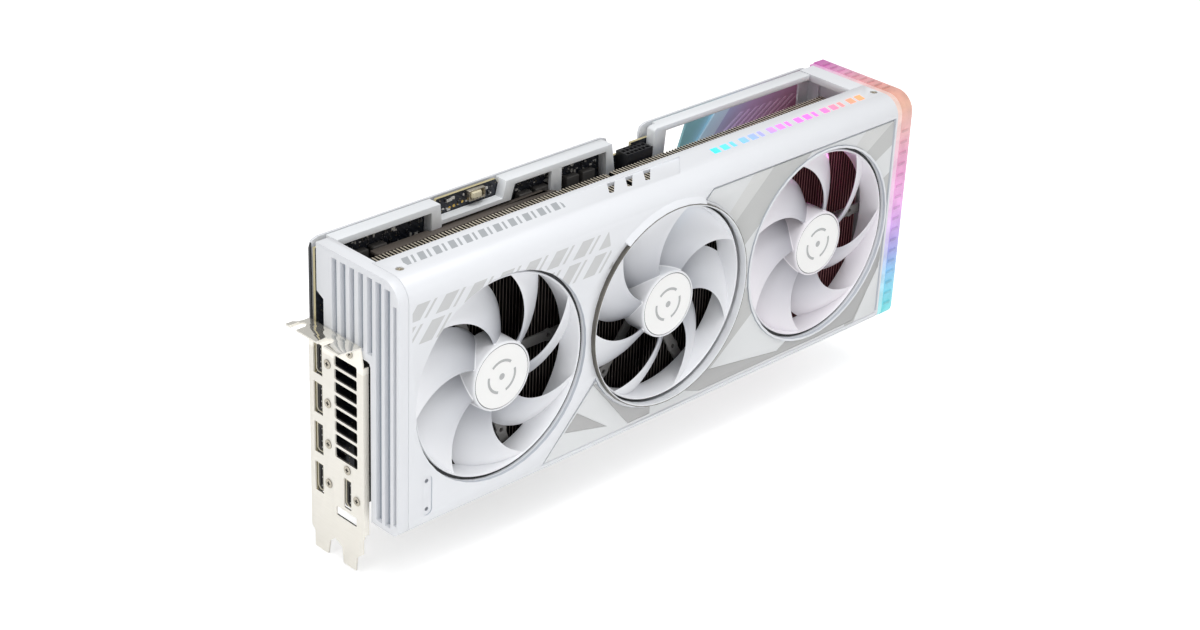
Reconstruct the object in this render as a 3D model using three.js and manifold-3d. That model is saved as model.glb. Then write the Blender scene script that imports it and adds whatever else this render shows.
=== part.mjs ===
// Triple-fan graphics card: cooler, board, bracket and light bar as separate named pieces.
// Working axes, in mm: x = 0 on the outer face of the slotted end grille and grows toward the
// light bar, y = 0 on the fan-side face and grows toward the backplate, z = 0 on the lower edge
// of the cooler and grows upward.  The exported group is shifted so that its origin is the
// middle of the lower face of the long edge-connector tab.
import * as THREE from "three";
import { mergeVertices } from "three/addons/utils/BufferGeometryUtils.js";
import Module from "manifold-3d";

const wasm = await Module();
wasm.setup();

// ---- driving dimensions -------------------------------------------------------------------
const CARD_LENGTH = 357.6;
const COOLER_HEIGHT = 132.3;
const COOLER_DEPTH = 65.3;
const WALL = 2.4;
const POCKET_DEPTH = 1.5;
const PANEL_FRONT = 0.7;
const HOOD_FRONT = -2.4;
const STEP_DEPTH = 1.1;
const TOP_RADIUS = 11;
const BOTTOM_RADIUS = 5;
const TOP_OPENING_Y = 25.7;

const FANS = [
  { name: "left", x: 63.85, z: 64.0, opening: 53.9, phase: 135.5, spin: 1 },
  { name: "center", x: 175.4, z: 65.5, opening: 54.4, phase: 126, spin: -1 },
  { name: "right", x: 289.0, z: 64.0, opening: 53.9, phase: 160.2, spin: 1 },
];
// Straight sides used to draw the large circles, and the small ones.
const ROUND = 44;
const SMALL_ROUND = 12;
const DUCT_WALL = 1.3;
const DUCT_DEPTH = 17.2;
const RING_OUTER = 52.2;
const RING_WALL = 1.0;
const RING_FRONT = 2.2;
const BLADE_FRONT = 3.2;
const BLADE_DEPTH = 12.6;
const BLADE_COUNT = 7;
const BLADE_SWEEP = 33;
const BLADE_CHORD_ROOT = 49;
const BLADE_CHORD_TIP = 37;
const HUB_RADIUS = 18;
const HUB_FRONT = 0.9;
const HUB_DEPTH = 16;

const GRILLE_LENGTH = 5.8;
const GRILLE_PLATE = 3.6;
const GROOVE_DEPTH = 2.3;
const SHROUD_START = 6;
const SHROUD_END = 345.8;
const BAR_INNER_START = 346;
const BAR_OUTER_START = 349.6;

const PCB_FRONT = 59.9;
const PCB_THICKNESS = 1.6;
const PCB_TOP = 131.9;
const PCB_BOTTOM = -8.7;
const TAB_BOTTOM = -17;
const BACKPLATE_FRONT = 63.8;

const BRACKET_FACE = -1.5;
const BRACKET_THICKNESS = 0.9;
const BRACKET_TOP = 91.6;
const FLANGE_EDGE = -12.9;

const FIN_PITCH = 3.5;
const FIN_THICKNESS = 0.8;
const FIN_FRONT = 19.2;
const FIN_BACK = 50;
const FIN_BOTTOM = 7;
const FIN_TOP = 120;

// PCI Express x16 edge: a short tab, a notch and a long tab.
const SHORT_TAB = 11.65;
const TAB_NOTCH = 1.9;
const LONG_TAB = 71.65;
const SHORT_TAB_START = 45.3;
const LONG_TAB_START = SHORT_TAB_START + SHORT_TAB + TAB_NOTCH;
const ORIGIN = new THREE.Vector3(
  LONG_TAB_START + LONG_TAB / 2,
  PCB_FRONT + PCB_THICKNESS / 2,
  TAB_BOTTOM,
);

// ---- solid helpers ------------------------------------------------------------------------
function solid(geometry) {
  const bare = geometry.clone();
  bare.deleteAttribute("normal");
  bare.deleteAttribute("uv");
  const merged = mergeVertices(bare, 1e-4);
  return new wasm.Manifold(
    new wasm.Mesh({
      numProp: 3,
      vertProperties: new Float32Array(merged.attributes.position.array),
      triVerts: new Uint32Array(merged.index.array),
    }),
  );
}

function join(first, ...others) {
  return others.flat().reduce((sum, next) => sum.add(next), first);
}

function cut(first, ...tools) {
  return tools.flat().reduce((rest, tool) => rest.subtract(tool), first);
}

function box(x0, x1, y0, y1, z0, z1) {
  const g = new THREE.BoxGeometry(x1 - x0, y1 - y0, z1 - z0);
  g.translate((x0 + x1) / 2, (y0 + y1) / 2, (z0 + z1) / 2);
  return solid(g);
}

function shapeOf(points) {
  return new THREE.Shape(points.map(([a, b]) => new THREE.Vector2(a, b)));
}

// Outline points are (x, z); the plate spans y0 to y1.
function plateXZ(points, y0, y1) {
  const g = new THREE.ExtrudeGeometry(shapeOf(points), { depth: y1 - y0, bevelEnabled: false });
  g.rotateX(Math.PI / 2);
  g.translate(0, y1, 0);
  return solid(g);
}

// Outline points are (y, z); the plate spans x0 to x1.
function plateYZ(points, x0, x1) {
  const g = new THREE.ExtrudeGeometry(shapeOf(points), { depth: x1 - x0, bevelEnabled: false });
  g.applyMatrix4(new THREE.Matrix4().set(0, 0, 1, x0, 1, 0, 0, 0, 0, 1, 0, 0, 0, 0, 0, 1));
  return solid(g);
}

// Outline points are (x, y); the plate spans z0 to z1.
function plateXY(points, z0, z1) {
  const g = new THREE.ExtrudeGeometry(shapeOf(points), { depth: z1 - z0, bevelEnabled: false });
  g.translate(0, 0, z0);
  return solid(g);
}

// A solid between two outlines with the same number of (x, z) points, at y0 and at y1.
function loftXZ(first, y0, second, y1) {
  const n = first.length;
  const positions = [];
  first.forEach(([x, z]) => positions.push(x, y0, z));
  second.forEach(([x, z]) => positions.push(x, y1, z));
  const flat = first.map(([x, z]) => new THREE.Vector2(x, z));
  const indices = [];
  for (const [a, b, c] of THREE.ShapeUtils.triangulateShape(flat, [])) {
    indices.push(a, b, c, n + a, n + c, n + b);
  }
  for (let i = 0; i < n; i++) {
    const k = (i + 1) % n;
    indices.push(i, n + i, k, k, n + i, n + k);
  }
  const g = new THREE.BufferGeometry();
  g.setAttribute("position", new THREE.Float32BufferAttribute(positions, 3));
  g.setIndex(indices);
  return orient(g);
}

function diskPoints(cx, cy, radius, count, turn = 0) {
  const points = [];
  for (let i = 0; i < count; i++) {
    const a = turn + (i / count) * 2 * Math.PI;
    points.push([cx + radius * Math.cos(a), cy + radius * Math.sin(a)]);
  }
  return points;
}

function rodY(x, z, radius, y0, y1, count = 24) {
  return plateXZ(diskPoints(x, z, radius, count), y0, y1);
}

function rodX(y, z, radius, x0, x1, count = 16) {
  return plateYZ(diskPoints(y, z, radius, count), x0, x1);
}

function rodZ(x, y, radius, z0, z1, count = 16) {
  return plateXY(diskPoints(x, y, radius, count), z0, z1);
}

// A turned body about a line parallel to y; the profile lists (radius, y) and is closed here.
function turnedY(profile, x, z, count) {
  let area = 0;
  for (let i = 0; i < profile.length; i++) {
    const [r0, y0] = profile[i];
    const [r1, y1] = profile[(i + 1) % profile.length];
    area += r0 * y1 - r1 * y0;
  }
  const ordered = area > 0 ? profile : [...profile].reverse();
  const closed = [...ordered, ordered[0]].map(([r, y]) => new THREE.Vector2(r, y));
  const g = new THREE.LatheGeometry(closed, count);
  g.translate(x, 0, z);
  return solid(g);
}

// Corner points of a polygon replaced by short arcs.
function rounded(points, radius, steps = 4) {
  const out = [];
  const n = points.length;
  for (let i = 0; i < n; i++) {
    const p = new THREE.Vector2(...points[i]);
    const before = new THREE.Vector2(...points[(i + n - 1) % n]).sub(p);
    const after = new THREE.Vector2(...points[(i + 1) % n]).sub(p);
    const reach = Math.min(radius, before.length() * 0.45, after.length() * 0.45);
    const a = before.normalize().multiplyScalar(reach).add(p);
    const b = after.normalize().multiplyScalar(reach).add(p);
    for (let k = 0; k <= steps; k++) {
      const t = k / steps;
      const u = 1 - t;
      out.push([
        u * u * a.x + 2 * u * t * p.x + t * t * b.x,
        u * u * a.y + 2 * u * t * p.y + t * t * b.y,
      ]);
    }
  }
  return out;
}

// ---- shared outlines ----------------------------------------------------------------------
// The cooler's side profile in (y, z): square at the back, rounded at both front corners.
function coolerProfile(inset, backY, topSteps = 8) {
  const top = COOLER_HEIGHT - inset;
  const rTop = Math.max(TOP_RADIUS - inset, 0.5);
  const rLow = Math.max(BOTTOM_RADIUS - inset, 0.5);
  const points = [
    [backY, inset],
    [backY, top],
  ];
  for (let i = 0; i <= topSteps; i++) {
    const a = Math.PI / 2 + (i / topSteps) * (Math.PI / 2);
    points.push([inset + rTop + rTop * Math.cos(a), top - rTop + rTop * Math.sin(a)]);
  }
  for (let i = 0; i <= 4; i++) {
    const a = Math.PI + (i / 4) * (Math.PI / 2);
    points.push([inset + rLow + rLow * Math.cos(a), inset + rLow + rLow * Math.sin(a)]);
  }
  return points;
}

// The panel set into the front face, right of the slanted seam, as (x, z).  The slanted side,
// the top and the other sides move outward by their own amounts.
function insertOutline(slant, top, side) {
  return [
    [92.6 - slant, 4.6 - side],
    [344 + side, 4.6 - side],
    [344 + side, 120.6 + top],
    [203.6 - slant * 0.4, 120.6 + top],
    [195 - slant, 112.5 + slant * 0.4],
    [175 - slant, 65 + slant * 0.4],
    [127 - slant * 0.7, 40 + slant * 0.7],
  ];
}

const TRIANGLE_TRIM = [
  [106, 17],
  [114.2, 25.4],
  [135.6, 10],
];
const WEDGE_TRIM = [
  [124.4, 37.6],
  [150.4, 6],
  [166, 6],
  [165, 40],
];
const SWEEP_TRIM = [
  [190.6, 10.4],
  [202.4, 6],
  [325, 6],
  [343, 34],
  [343, 46],
  [332, 50],
  [300, 30],
  [262, 8.8],
  [205, 17.2],
];

function fanHoles(extra, y0, y1) {
  return FANS.map((fan) => rodY(fan.x, fan.z, fan.opening + extra, y0, y1, ROUND));
}

// The same outline with every edge moved outward by a distance (inward when negative).
function offsetOutline(points, distance) {
  const n = points.length;
  let area = 0;
  for (let i = 0; i < n; i++) {
    const [x0, z0] = points[i];
    const [x1, z1] = points[(i + 1) % n];
    area += x0 * z1 - x1 * z0;
  }
  const side = area > 0 ? distance : -distance;
  const normalOf = (i) => {
    const [x0, z0] = points[(i + n) % n];
    const [x1, z1] = points[(i + 1) % n];
    const length = Math.hypot(x1 - x0, z1 - z0);
    return [(z1 - z0) / length, -(x1 - x0) / length];
  };
  return points.map(([x, z], i) => {
    const [ax, az] = normalOf(i - 1);
    const [bx, bz] = normalOf(i);
    const k = side / (1 + ax * bx + az * bz);
    return [x + (ax + bx) * k, z + (az + bz) * k];
  });
}

// ---- cooler shell -------------------------------------------------------------------------
const LIGHT_DASH_COUNT = 17;
const LIGHT_DASH_START = 216;
const LIGHT_DASH_PITCH = 6.95;

// One slanted dash of the lit row on the top face, as (x, y).
function dashOutline(index, grow) {
  const x = LIGHT_DASH_START + index * LIGHT_DASH_PITCH;
  const wide = index % 3 === 2 ? 2.4 : 4.6;
  return [
    [x - grow, 12.8 - grow],
    [x + wide + grow, 12.8 - grow],
    [x + wide + 1.6 + grow, 18.2 + grow],
    [x + 1.6 - grow, 18.2 + grow],
  ];
}

function frontShroud() {
  const outer = plateYZ(coolerProfile(0, TOP_OPENING_Y), SHROUD_START, SHROUD_END);
  const hollow = plateYZ(coolerProfile(WALL, TOP_OPENING_Y + 5), SHROUD_START - 1, SHROUD_END + 1);
  let body = cut(outer, hollow);
  const ducts = FANS.map((fan) =>
    turnedY(
      [
        [fan.opening - 1, 1.7],
        [fan.opening + DUCT_WALL, 1.7],
        [fan.opening + DUCT_WALL, DUCT_DEPTH],
        [fan.opening - 1, DUCT_DEPTH],
      ],
      fan.x,
      fan.z,
      ROUND,
    ),
  );
  body = join(body, ducts);
  // The pocket has a bevelled rim and leaves a narrow standing lip round each opening.
  const rim = loftXZ(insertOutline(2.8, 1.3, 0.5), -0.02, insertOutline(0, 0, 0), POCKET_DEPTH);
  body = cut(body, cut(rim, fanHoles(1.2, -2, 3)));
  body = join(body, centerHood());
  body = cut(body, fanHoles(0, -4, 30));
  for (let i = 0; i < 3; i++) {
    const x = i * 12.35;
    const slot = [
      [148.9 + x, 21.7],
      [142.1 + x, 13],
      [144.5 + x, 12.3],
      [153.9 + x, 21.5],
    ];
    body = cut(body, plateXY(slot, COOLER_HEIGHT - 6, COOLER_HEIGHT + 1));
  }
  body = cut(body, topStep());
  for (let i = 0; i < LIGHT_DASH_COUNT; i++) {
    body = cut(body, plateXY(dashOutline(i, 0.12), COOLER_HEIGHT - 5, COOLER_HEIGHT + 1));
  }
  body = cut(body, obround(17.5, 9.4, 25.2, 2.9, -1, 0.7));
  for (const z of [9.6, 25]) {
    body = cut(body, rodY(17.5, z, 1.1, -1, 4, 14));
  }
  body = cut(body, rodZ(12, 13.8, 2.1, 120, 140), rodZ(347.4 - 4.6, 15.9, 2.1, 120, 140));
  return body;
}

// The raised brow over the upper left part of the centre opening.
function centerHood() {
  const fan = FANS[1];
  const brow = turnedY(
    [
      [fan.opening - 1, HOOD_FRONT],
      [fan.opening + 0.2, HOOD_FRONT],
      [fan.opening + 2.8, 0],
      [fan.opening + 2.8, 1],
      [fan.opening - 1, 1],
    ],
    fan.x,
    fan.z,
    ROUND,
  );
  const sector = [[fan.x, fan.z]];
  for (const degrees of [68, 98, 127]) {
    const a = (degrees * Math.PI) / 180;
    sector.push([fan.x + 80 * Math.cos(a), fan.z + 80 * Math.sin(a)]);
  }
  return brow.intersect(plateXZ(sector, HOOD_FRONT - 1, 2));
}

// A shallow step on the top face that fades out toward the slotted end.
function topStep() {
  const area = [
    [120, 9.7],
    [185.7, 7.9],
    [199.8, 22.2],
    [120, 22.2],
  ];
  const wedge = [
    [120, COOLER_HEIGHT + 1],
    [120, COOLER_HEIGHT],
    [200, COOLER_HEIGHT - STEP_DEPTH],
    [200, COOLER_HEIGHT + 1],
  ];
  return plateXZ(wedge, 0, 30).intersect(plateXY(area, COOLER_HEIGHT - 2, COOLER_HEIGHT + 2));
}

// A slot with round ends, standing upright on the front face.
function obround(x, zLow, zHigh, radius, y0, y1) {
  const points = [];
  for (let i = 0; i <= 8; i++) {
    const a = (i / 8) * Math.PI;
    points.push([x + radius * Math.cos(a), zHigh + radius * Math.sin(a)]);
  }
  for (let i = 0; i <= 8; i++) {
    const a = Math.PI + (i / 8) * Math.PI;
    points.push([x + radius * Math.cos(a), zLow + radius * Math.sin(a)]);
  }
  return plateXZ(points, y0, y1);
}

function insertPanel() {
  let body = plateXZ(insertOutline(-0.2, -0.2, -0.2), PANEL_FRONT, POCKET_DEPTH - 0.05);
  body = cut(body, fanHoles(1.4, -1, 2));
  for (const outline of [TRIANGLE_TRIM, WEDGE_TRIM, SWEEP_TRIM]) {
    body = cut(body, plateXZ(outline, -1, PANEL_FRONT + 0.45));
  }
  return body;
}

// A satin trim piece lying in its own pocket of the insert panel.
function trimPiece(outline) {
  const strip = plateXZ(offsetOutline(outline, -0.2), PANEL_FRONT + 0.08, PANEL_FRONT + 0.42);
  return cut(strip, fanHoles(1.7, -1, 2));
}

// Grooves in the end face as (y from, y to), from the back forward.  The first ones are
// short because they end on the shelf above the bracket.
const SHORT_SLOTS = 5;
const SLOT_EDGES = [
  [44.1, 47.7],
  [37.6, 41.5],
  [31.4, 34.9],
  [25.1, 28.6],
  [18.7, 22.3],
  [12.2, 16.2],
  [6, 10],
];

// The recess in the end face that takes the bracket.
const RECESS_SIDE = 20.1;
const RECESS_TOP = 85.4;
const SHELF_SCREW = [33.4, 85.5];

function endGrille() {
  const backEdge = 59;
  const outer = plateYZ(coolerProfile(0, backEdge), 0, GRILLE_LENGTH);
  const hollow = plateYZ(coolerProfile(WALL, backEdge - 2), GRILLE_PLATE, GRILLE_LENGTH + 1);
  let body = cut(outer, hollow);
  // Room for the bracket and its sockets: everything behind the front strip below the shelf.
  const cutOut = [
    [RECESS_SIDE, -1],
    [backEdge + 1, -1],
    [backEdge + 1, 107.5],
    [backEdge, 107.5],
    [54, 104.8],
    [54, RECESS_TOP],
    [RECESS_SIDE + 2.4, RECESS_TOP],
    [RECESS_SIDE + 0.7, RECESS_TOP - 0.6],
    [RECESS_SIDE, RECESS_TOP - 2.4],
  ];
  body = cut(body, plateYZ(cutOut, -1, GRILLE_LENGTH + 1));
  body = join(body, box(0.4, 5.6, 54 - 1.8, 54, RECESS_TOP, 106));
  body = join(body, box(0.4, 5.6, RECESS_SIDE - 1.6, RECESS_SIDE, 1, RECESS_TOP));
  body = join(body, box(0.4, 5.6, RECESS_SIDE - 1.6, 54, RECESS_TOP, RECESS_TOP + 1.6));
  body = cut(body, rodX(...SHELF_SCREW, 1.5, -1, 3, 8));
  // The top strip that closes the left end of the long opening.
  body = join(body, box(5, 8, TOP_OPENING_Y + 0.2, backEdge, COOLER_HEIGHT - WALL, COOLER_HEIGHT));
  SLOT_EDGES.forEach(([y0, y1], i) => {
    const low = i < SHORT_SLOTS ? 89.4 : 3.2;
    const high = i === SLOT_EDGES.length - 1 ? 127.6 : 128.8;
    body = cut(body, box(-1, GROOVE_DEPTH, y0, y1, low, high));
  });
  body = cut(body, box(-1, GROOVE_DEPTH, 1.6, 3.9, 6, 121));
  return body;
}

// ---- rail, backplate and their small parts ------------------------------------------------
const RAIL_FRONT = 54;
const RAIL_BACK = 59.5;
const RAIL_TOP_BACK = 62;
const RAIL_BAR = 3.1;
const RAIL_LOW_TOP = 123.5;
const RAIL_LOW_BOTTOM = 121.4;
const LEG_BOTTOM = 112;

function metalFrame() {
  const top = COOLER_HEIGHT;
  const bar = top - RAIL_BAR;
  // First two raised runs with the low run between them, as one zigzag in (x, z).
  const zigzag = [
    [8.3, top],
    [70.4, top],
    [71.2, RAIL_LOW_TOP],
    [110.2, RAIL_LOW_TOP],
    [112.4, top],
    [184, top],
    [187.2, LEG_BOTTOM],
    [180.6, LEG_BOTTOM],
    [180, bar],
    [118, bar],
    [115.6, RAIL_LOW_BOTTOM],
    [71.4, RAIL_LOW_BOTTOM],
    [70.8, LEG_BOTTOM],
    [65, LEG_BOTTOM],
    [65, bar],
    [8.3, bar],
  ];
  let body = plateXZ(zigzag, RAIL_FRONT, RAIL_BACK);
  body = join(body, box(8.3, 70.2, RAIL_BACK - 1, RAIL_TOP_BACK, bar, top));
  body = join(body, box(112.6, 183.8, RAIL_BACK - 1, RAIL_TOP_BACK, bar, top));
  // The hanging screw tab on the second raised run.
  const tab = [
    [142.5, bar + 1],
    [149.4, bar + 1],
    [149.4, 115],
    [148, 112.4],
    [144, 112.4],
    [142.5, 115],
  ];
  body = join(body, plateXZ(rounded(tab, 1.2), RAIL_FRONT, RAIL_FRONT + 2.2));
  body = cut(body, rodY(146, 116, 1.1, 50, 60, 14));
  return body;
}

function metalFrameFar() {
  const top = COOLER_HEIGHT;
  const bar = top - RAIL_BAR;
  const outline = [
    [216.2, top],
    [334.6, top],
    [334.6, bar],
    [223.4, bar],
    [221.8, LEG_BOTTOM],
    [213.6, LEG_BOTTOM],
    [214.4, top - 1],
  ];
  const main = plateXZ(outline, RAIL_FRONT, RAIL_BACK);
  const shelf = box(220.4, 334.6, RAIL_BACK - 1, RAIL_TOP_BACK, bar, top);
  return join(main, shelf);
}

const SLAT_COUNT = 9;

function backplate() {
  const outline = [
    [0.3, 2],
    [344, 2],
    [344, 131.8],
    [213, 131.8],
    [213, 116],
    [190.6, 116],
    [190.6, 131.8],
    [0.3, 131.8],
  ];
  let body = plateXZ(rounded(outline, 5, 2), BACKPLATE_FRONT, COOLER_DEPTH);
  // Flow-through zone: one clear window, a slanted brace, then a run of slanted slots.
  const window1 = [
    [228, 20],
    [228, 124],
    [249, 124],
    [237, 92],
    [237, 20],
  ];
  body = cut(body, plateXZ(rounded(window1, 2), 60, 70));
  for (let i = 0; i < SLAT_COUNT; i++) {
    const x = 291.2 + i * 5.9;
    const slot = [
      [x - 21.4, 22],
      [x - 18.8, 22],
      [x - 18.8, 106.3],
      [x + 2.6, 118.7],
      [x, 118.7],
      [x - 21.4, 106.3],
    ];
    body = cut(body, plateXZ(slot, 60, 70));
  }
  // The slanted strut stands proud of the inner face.
  const strut = [
    [248, 101],
    [257.7, 112.1],
    [269.3, 124.7],
    [280.2, 124.2],
    [269.1, 112.3],
    [259, 101],
  ];
  body = join(body, plateXZ(strut, BACKPLATE_FRONT - 1.7, BACKPLATE_FRONT + 0.2));
  for (const [x, z] of [[80, 30], [80, 98], [148, 30], [148, 98]]) {
    body = cut(body, rodY(x, z, 2.2, 60, 70, 8));
  }
  return body;
}

// The cross-shaped spring plate that pulls the cold plate onto the chip from behind.
function backBrace() {
  const arms = [
    [76, 26],
    [84, 26],
    [104, 52],
    [124, 52],
    [144, 26],
    [152, 26],
    [152, 34],
    [132, 58],
    [132, 70],
    [152, 94],
    [152, 102],
    [144, 102],
    [124, 76],
    [104, 76],
    [84, 102],
    [76, 102],
    [76, 94],
    [96, 70],
    [96, 58],
    [76, 34],
  ];
  let body = plateXZ(arms, COOLER_DEPTH + 0.05, COOLER_DEPTH + 1.3);
  body = cut(body, rodY(114, 64, 7, 60, 70, 14));
  for (const [x, z] of [[80, 30], [80, 98], [148, 30], [148, 98]]) {
    body = join(body, rodY(x, z, 1.9, COOLER_DEPTH - 1.2, COOLER_DEPTH + 2, 8));
  }
  return body;
}

// ---- far end ------------------------------------------------------------------------------
// An L-shaped strip that follows the top and front edges, as (y, z).
function stripProfile(inset, thickness, backY) {
  const outer = coolerProfile(inset, backY);
  const inner = coolerProfile(inset + thickness, backY);
  const outerRun = outer.slice(1);
  const innerRun = inner.slice(1).reverse();
  return [...outerRun, [BOTTOM_RADIUS + 3, inset], [BOTTOM_RADIUS + 3, inset + thickness], ...innerRun];
}

function endCap() {
  const plate = plateYZ(coolerProfile(WALL + 0.2, 61.5), 344.6, 345.9);
  const ledge = box(335, 345.9, TOP_OPENING_Y + 0.2, 62, COOLER_HEIGHT - 4, COOLER_HEIGHT);
  let body = join(plate, ledge);
  body = cut(body, box(330, 344, 0, TOP_OPENING_Y, 100, 140));
  // Lower side posts and the closing face behind the light bar.
  body = join(body, plateYZ(coolerProfile(8.2, 63), 345.5, 356.6));
  for (let i = 0; i < 6; i++) {
    const z = 26 + i * 14;
    body = cut(body, box(354.6, 358, 18, 54, z, z + 5));
  }
  return body;
}

function lightBarInner() {
  return plateYZ(stripProfile(0.2, 7, 64.5), BAR_INNER_START, BAR_OUTER_START - 0.1);
}

const RIB_PITCH_TOP = 5.3;
const RIB_PITCH_FRONT = 6.5;

function lightBarOuter() {
  const body = plateYZ(stripProfile(0, 7.4, 64.9), BAR_OUTER_START, CARD_LENGTH);
  const ribStart = BAR_OUTER_START + 0.3;
  const ribEnd = BAR_OUTER_START + 5.6;
  const ribs = [];
  for (let i = 0; i < 9; i++) {
    const y = 15 + i * RIB_PITCH_TOP;
    ribs.push(box(ribStart, ribEnd, y, y + 1.3, COOLER_HEIGHT - 1, COOLER_HEIGHT + 0.5));
  }
  for (let i = 0; i < 17; i++) {
    const z = 8 + i * RIB_PITCH_FRONT;
    ribs.push(box(ribStart, ribEnd, -0.5, 1, z, z + 1.5));
  }
  return join(body, ribs);
}

function topLightStrip() {
  let body = box(214.5, 336.5, 11.6, 19.6, COOLER_HEIGHT - WALL - 1.2, COOLER_HEIGHT - WALL - 0.1);
  for (let i = 0; i < LIGHT_DASH_COUNT; i++) {
    body = join(body, plateXY(dashOutline(i, 0), COOLER_HEIGHT - WALL - 0.6, COOLER_HEIGHT + 0.05));
  }
  return body;
}

// ---- board --------------------------------------------------------------------------------
function pcb() {
  const low = 128.6;
  const outline = [
    [0.1, PCB_BOTTOM + 6],
    [SHORT_TAB_START - 3, PCB_BOTTOM + 6],
    [SHORT_TAB_START - 3, PCB_BOTTOM],
    [SHORT_TAB_START, PCB_BOTTOM],
    [SHORT_TAB_START, TAB_BOTTOM],
    [SHORT_TAB_START + SHORT_TAB, TAB_BOTTOM],
    [SHORT_TAB_START + SHORT_TAB, PCB_BOTTOM],
    [LONG_TAB_START, PCB_BOTTOM],
    [LONG_TAB_START, TAB_BOTTOM],
    [LONG_TAB_START + LONG_TAB, TAB_BOTTOM],
    [LONG_TAB_START + LONG_TAB, PCB_BOTTOM],
    [LONG_TAB_START + LONG_TAB + 4, PCB_BOTTOM],
    [LONG_TAB_START + LONG_TAB + 4, PCB_BOTTOM + 2],
    [LONG_TAB_START + LONG_TAB + 12, PCB_BOTTOM + 12],
    [212, PCB_BOTTOM + 12],
    [218.9, 12],
    [218.9, 125.7],
    [203.5, 125.7],
    [203.5, 122],
    [188.8, 122],
    [188.8, low],
    [112.5, low],
    [110.5, PCB_TOP],
    [73, PCB_TOP],
    [71, low],
    [0.1, low],
  ];
  return plateXZ(outline, PCB_FRONT, PCB_FRONT + PCB_THICKNESS);
}

function gpuPackage() {
  return box(92, 137, 58.3, PCB_FRONT - 0.02, 41, 86);
}

function gpuDie() {
  return box(102, 127, 57.4, 58.28, 51, 76);
}

function powerSocket() {
  const x0 = 192.7;
  const top = 124.6;
  let body = box(x0, 211, 51.3, PCB_FRONT - 0.05, 107.5, top);
  for (let i = 0; i < 6; i++) {
    const x = x0 + 1 + i * 2.8;
    for (const y of [52, 55.4]) {
      body = cut(body, box(x, x + 2.1, y, y + 2.1, top - 9, top + 1));
    }
  }
  for (let i = 0; i < 4; i++) {
    const x = x0 + 4.4 + i * 2.5;
    body = cut(body, box(x, x + 1.4, 58.2, 59.2, top - 6, top + 1));
  }
  return body;
}

// Two-position slide switch on the upper edge of the board.
const SWITCH_LEFT = 91.2;
const SWITCH_RIGHT = 101.5;
const SWITCH_LOW = 126.4;
const SWITCH_HIGH = 131.6;
const SLIDER_LENGTH = 5.8;

function switchBody() {
  const block = box(SWITCH_LEFT, SWITCH_RIGHT, 56.9, PCB_FRONT - 0.02, SWITCH_LOW, SWITCH_HIGH);
  const track = box(
    SWITCH_LEFT + 1,
    SWITCH_RIGHT - 1,
    50,
    58.6,
    SWITCH_LOW + 1.2,
    SWITCH_HIGH - 0.5,
  );
  return cut(block, track);
}

function switchSlider() {
  const x0 = SWITCH_LEFT + 1.3;
  const x1 = x0 + SLIDER_LENGTH;
  const foot = box(x0, x1, 56.6, 58.4, SWITCH_LOW + 1.4, SWITCH_HIGH - 0.7);
  const tip = box(x0 + 0.3, x1 - 0.3, 55.6, 57, SWITCH_LOW + 1.6, SWITCH_HIGH - 0.9);
  return join(foot, tip);
}

// ---- heat sink ----------------------------------------------------------------------------
// Upright fins joined by a thin web at the back, drawn as one comb in (x, y).
function finStack(x0, count) {
  const web = FIN_BACK - 1.4;
  const points = [];
  for (let i = 0; i < count; i++) {
    const x = x0 + i * FIN_PITCH;
    points.push([x, i === 0 ? FIN_BACK : web]);
    points.push([x, FIN_FRONT]);
    points.push([x + FIN_THICKNESS, FIN_FRONT]);
    if (i < count - 1) {
      points.push([x + FIN_THICKNESS, web]);
    }
  }
  points.push([x0 + (count - 1) * FIN_PITCH + FIN_THICKNESS, FIN_BACK]);
  return plateXY(points, FIN_BOTTOM, FIN_TOP);
}

const PIPE_ROWS = [22, 40, 86, 102];

function heatPipe(z) {
  const half = 2.3;
  const flat = [
    [FIN_BACK + 0.1, z - 2],
    [FIN_BACK + 0.1, z + 2],
    [FIN_BACK + 1.4, z + 3.6],
    [FIN_BACK + half + 1.2, z + 3.6],
    [FIN_BACK + half * 2, z + 2],
    [FIN_BACK + half * 2, z - 2],
    [FIN_BACK + half + 1.2, z - 3.6],
    [FIN_BACK + 1.4, z - 3.6],
  ];
  return plateYZ(flat, 24, 326);
}

function vaporChamber() {
  const outline = [
    [70, 26],
    [160, 26],
    [160, 96],
    [70, 96],
  ];
  return plateXZ(rounded(outline, 4, 3), FIN_BACK + 4.7, 57.35);
}

// Cast frame that stiffens the top edge of the sink above the power stages.
function sinkFrame() {
  const lower = plateXY(
    rounded([[29, 50.1], [143, 50.1], [139, 53.85], [29, 53.85]], 1.5, 3),
    112.5,
    FIN_TOP,
  );
  // The thin upper plate is notched round the rail's leg.
  const left = box(29, 63.8, 52, 55.7, FIN_TOP - 1.2, FIN_TOP);
  const right = box(72.4, 137, 52, 55.7, FIN_TOP - 1.2, FIN_TOP);
  return join(lower, left, right);
}

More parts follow.
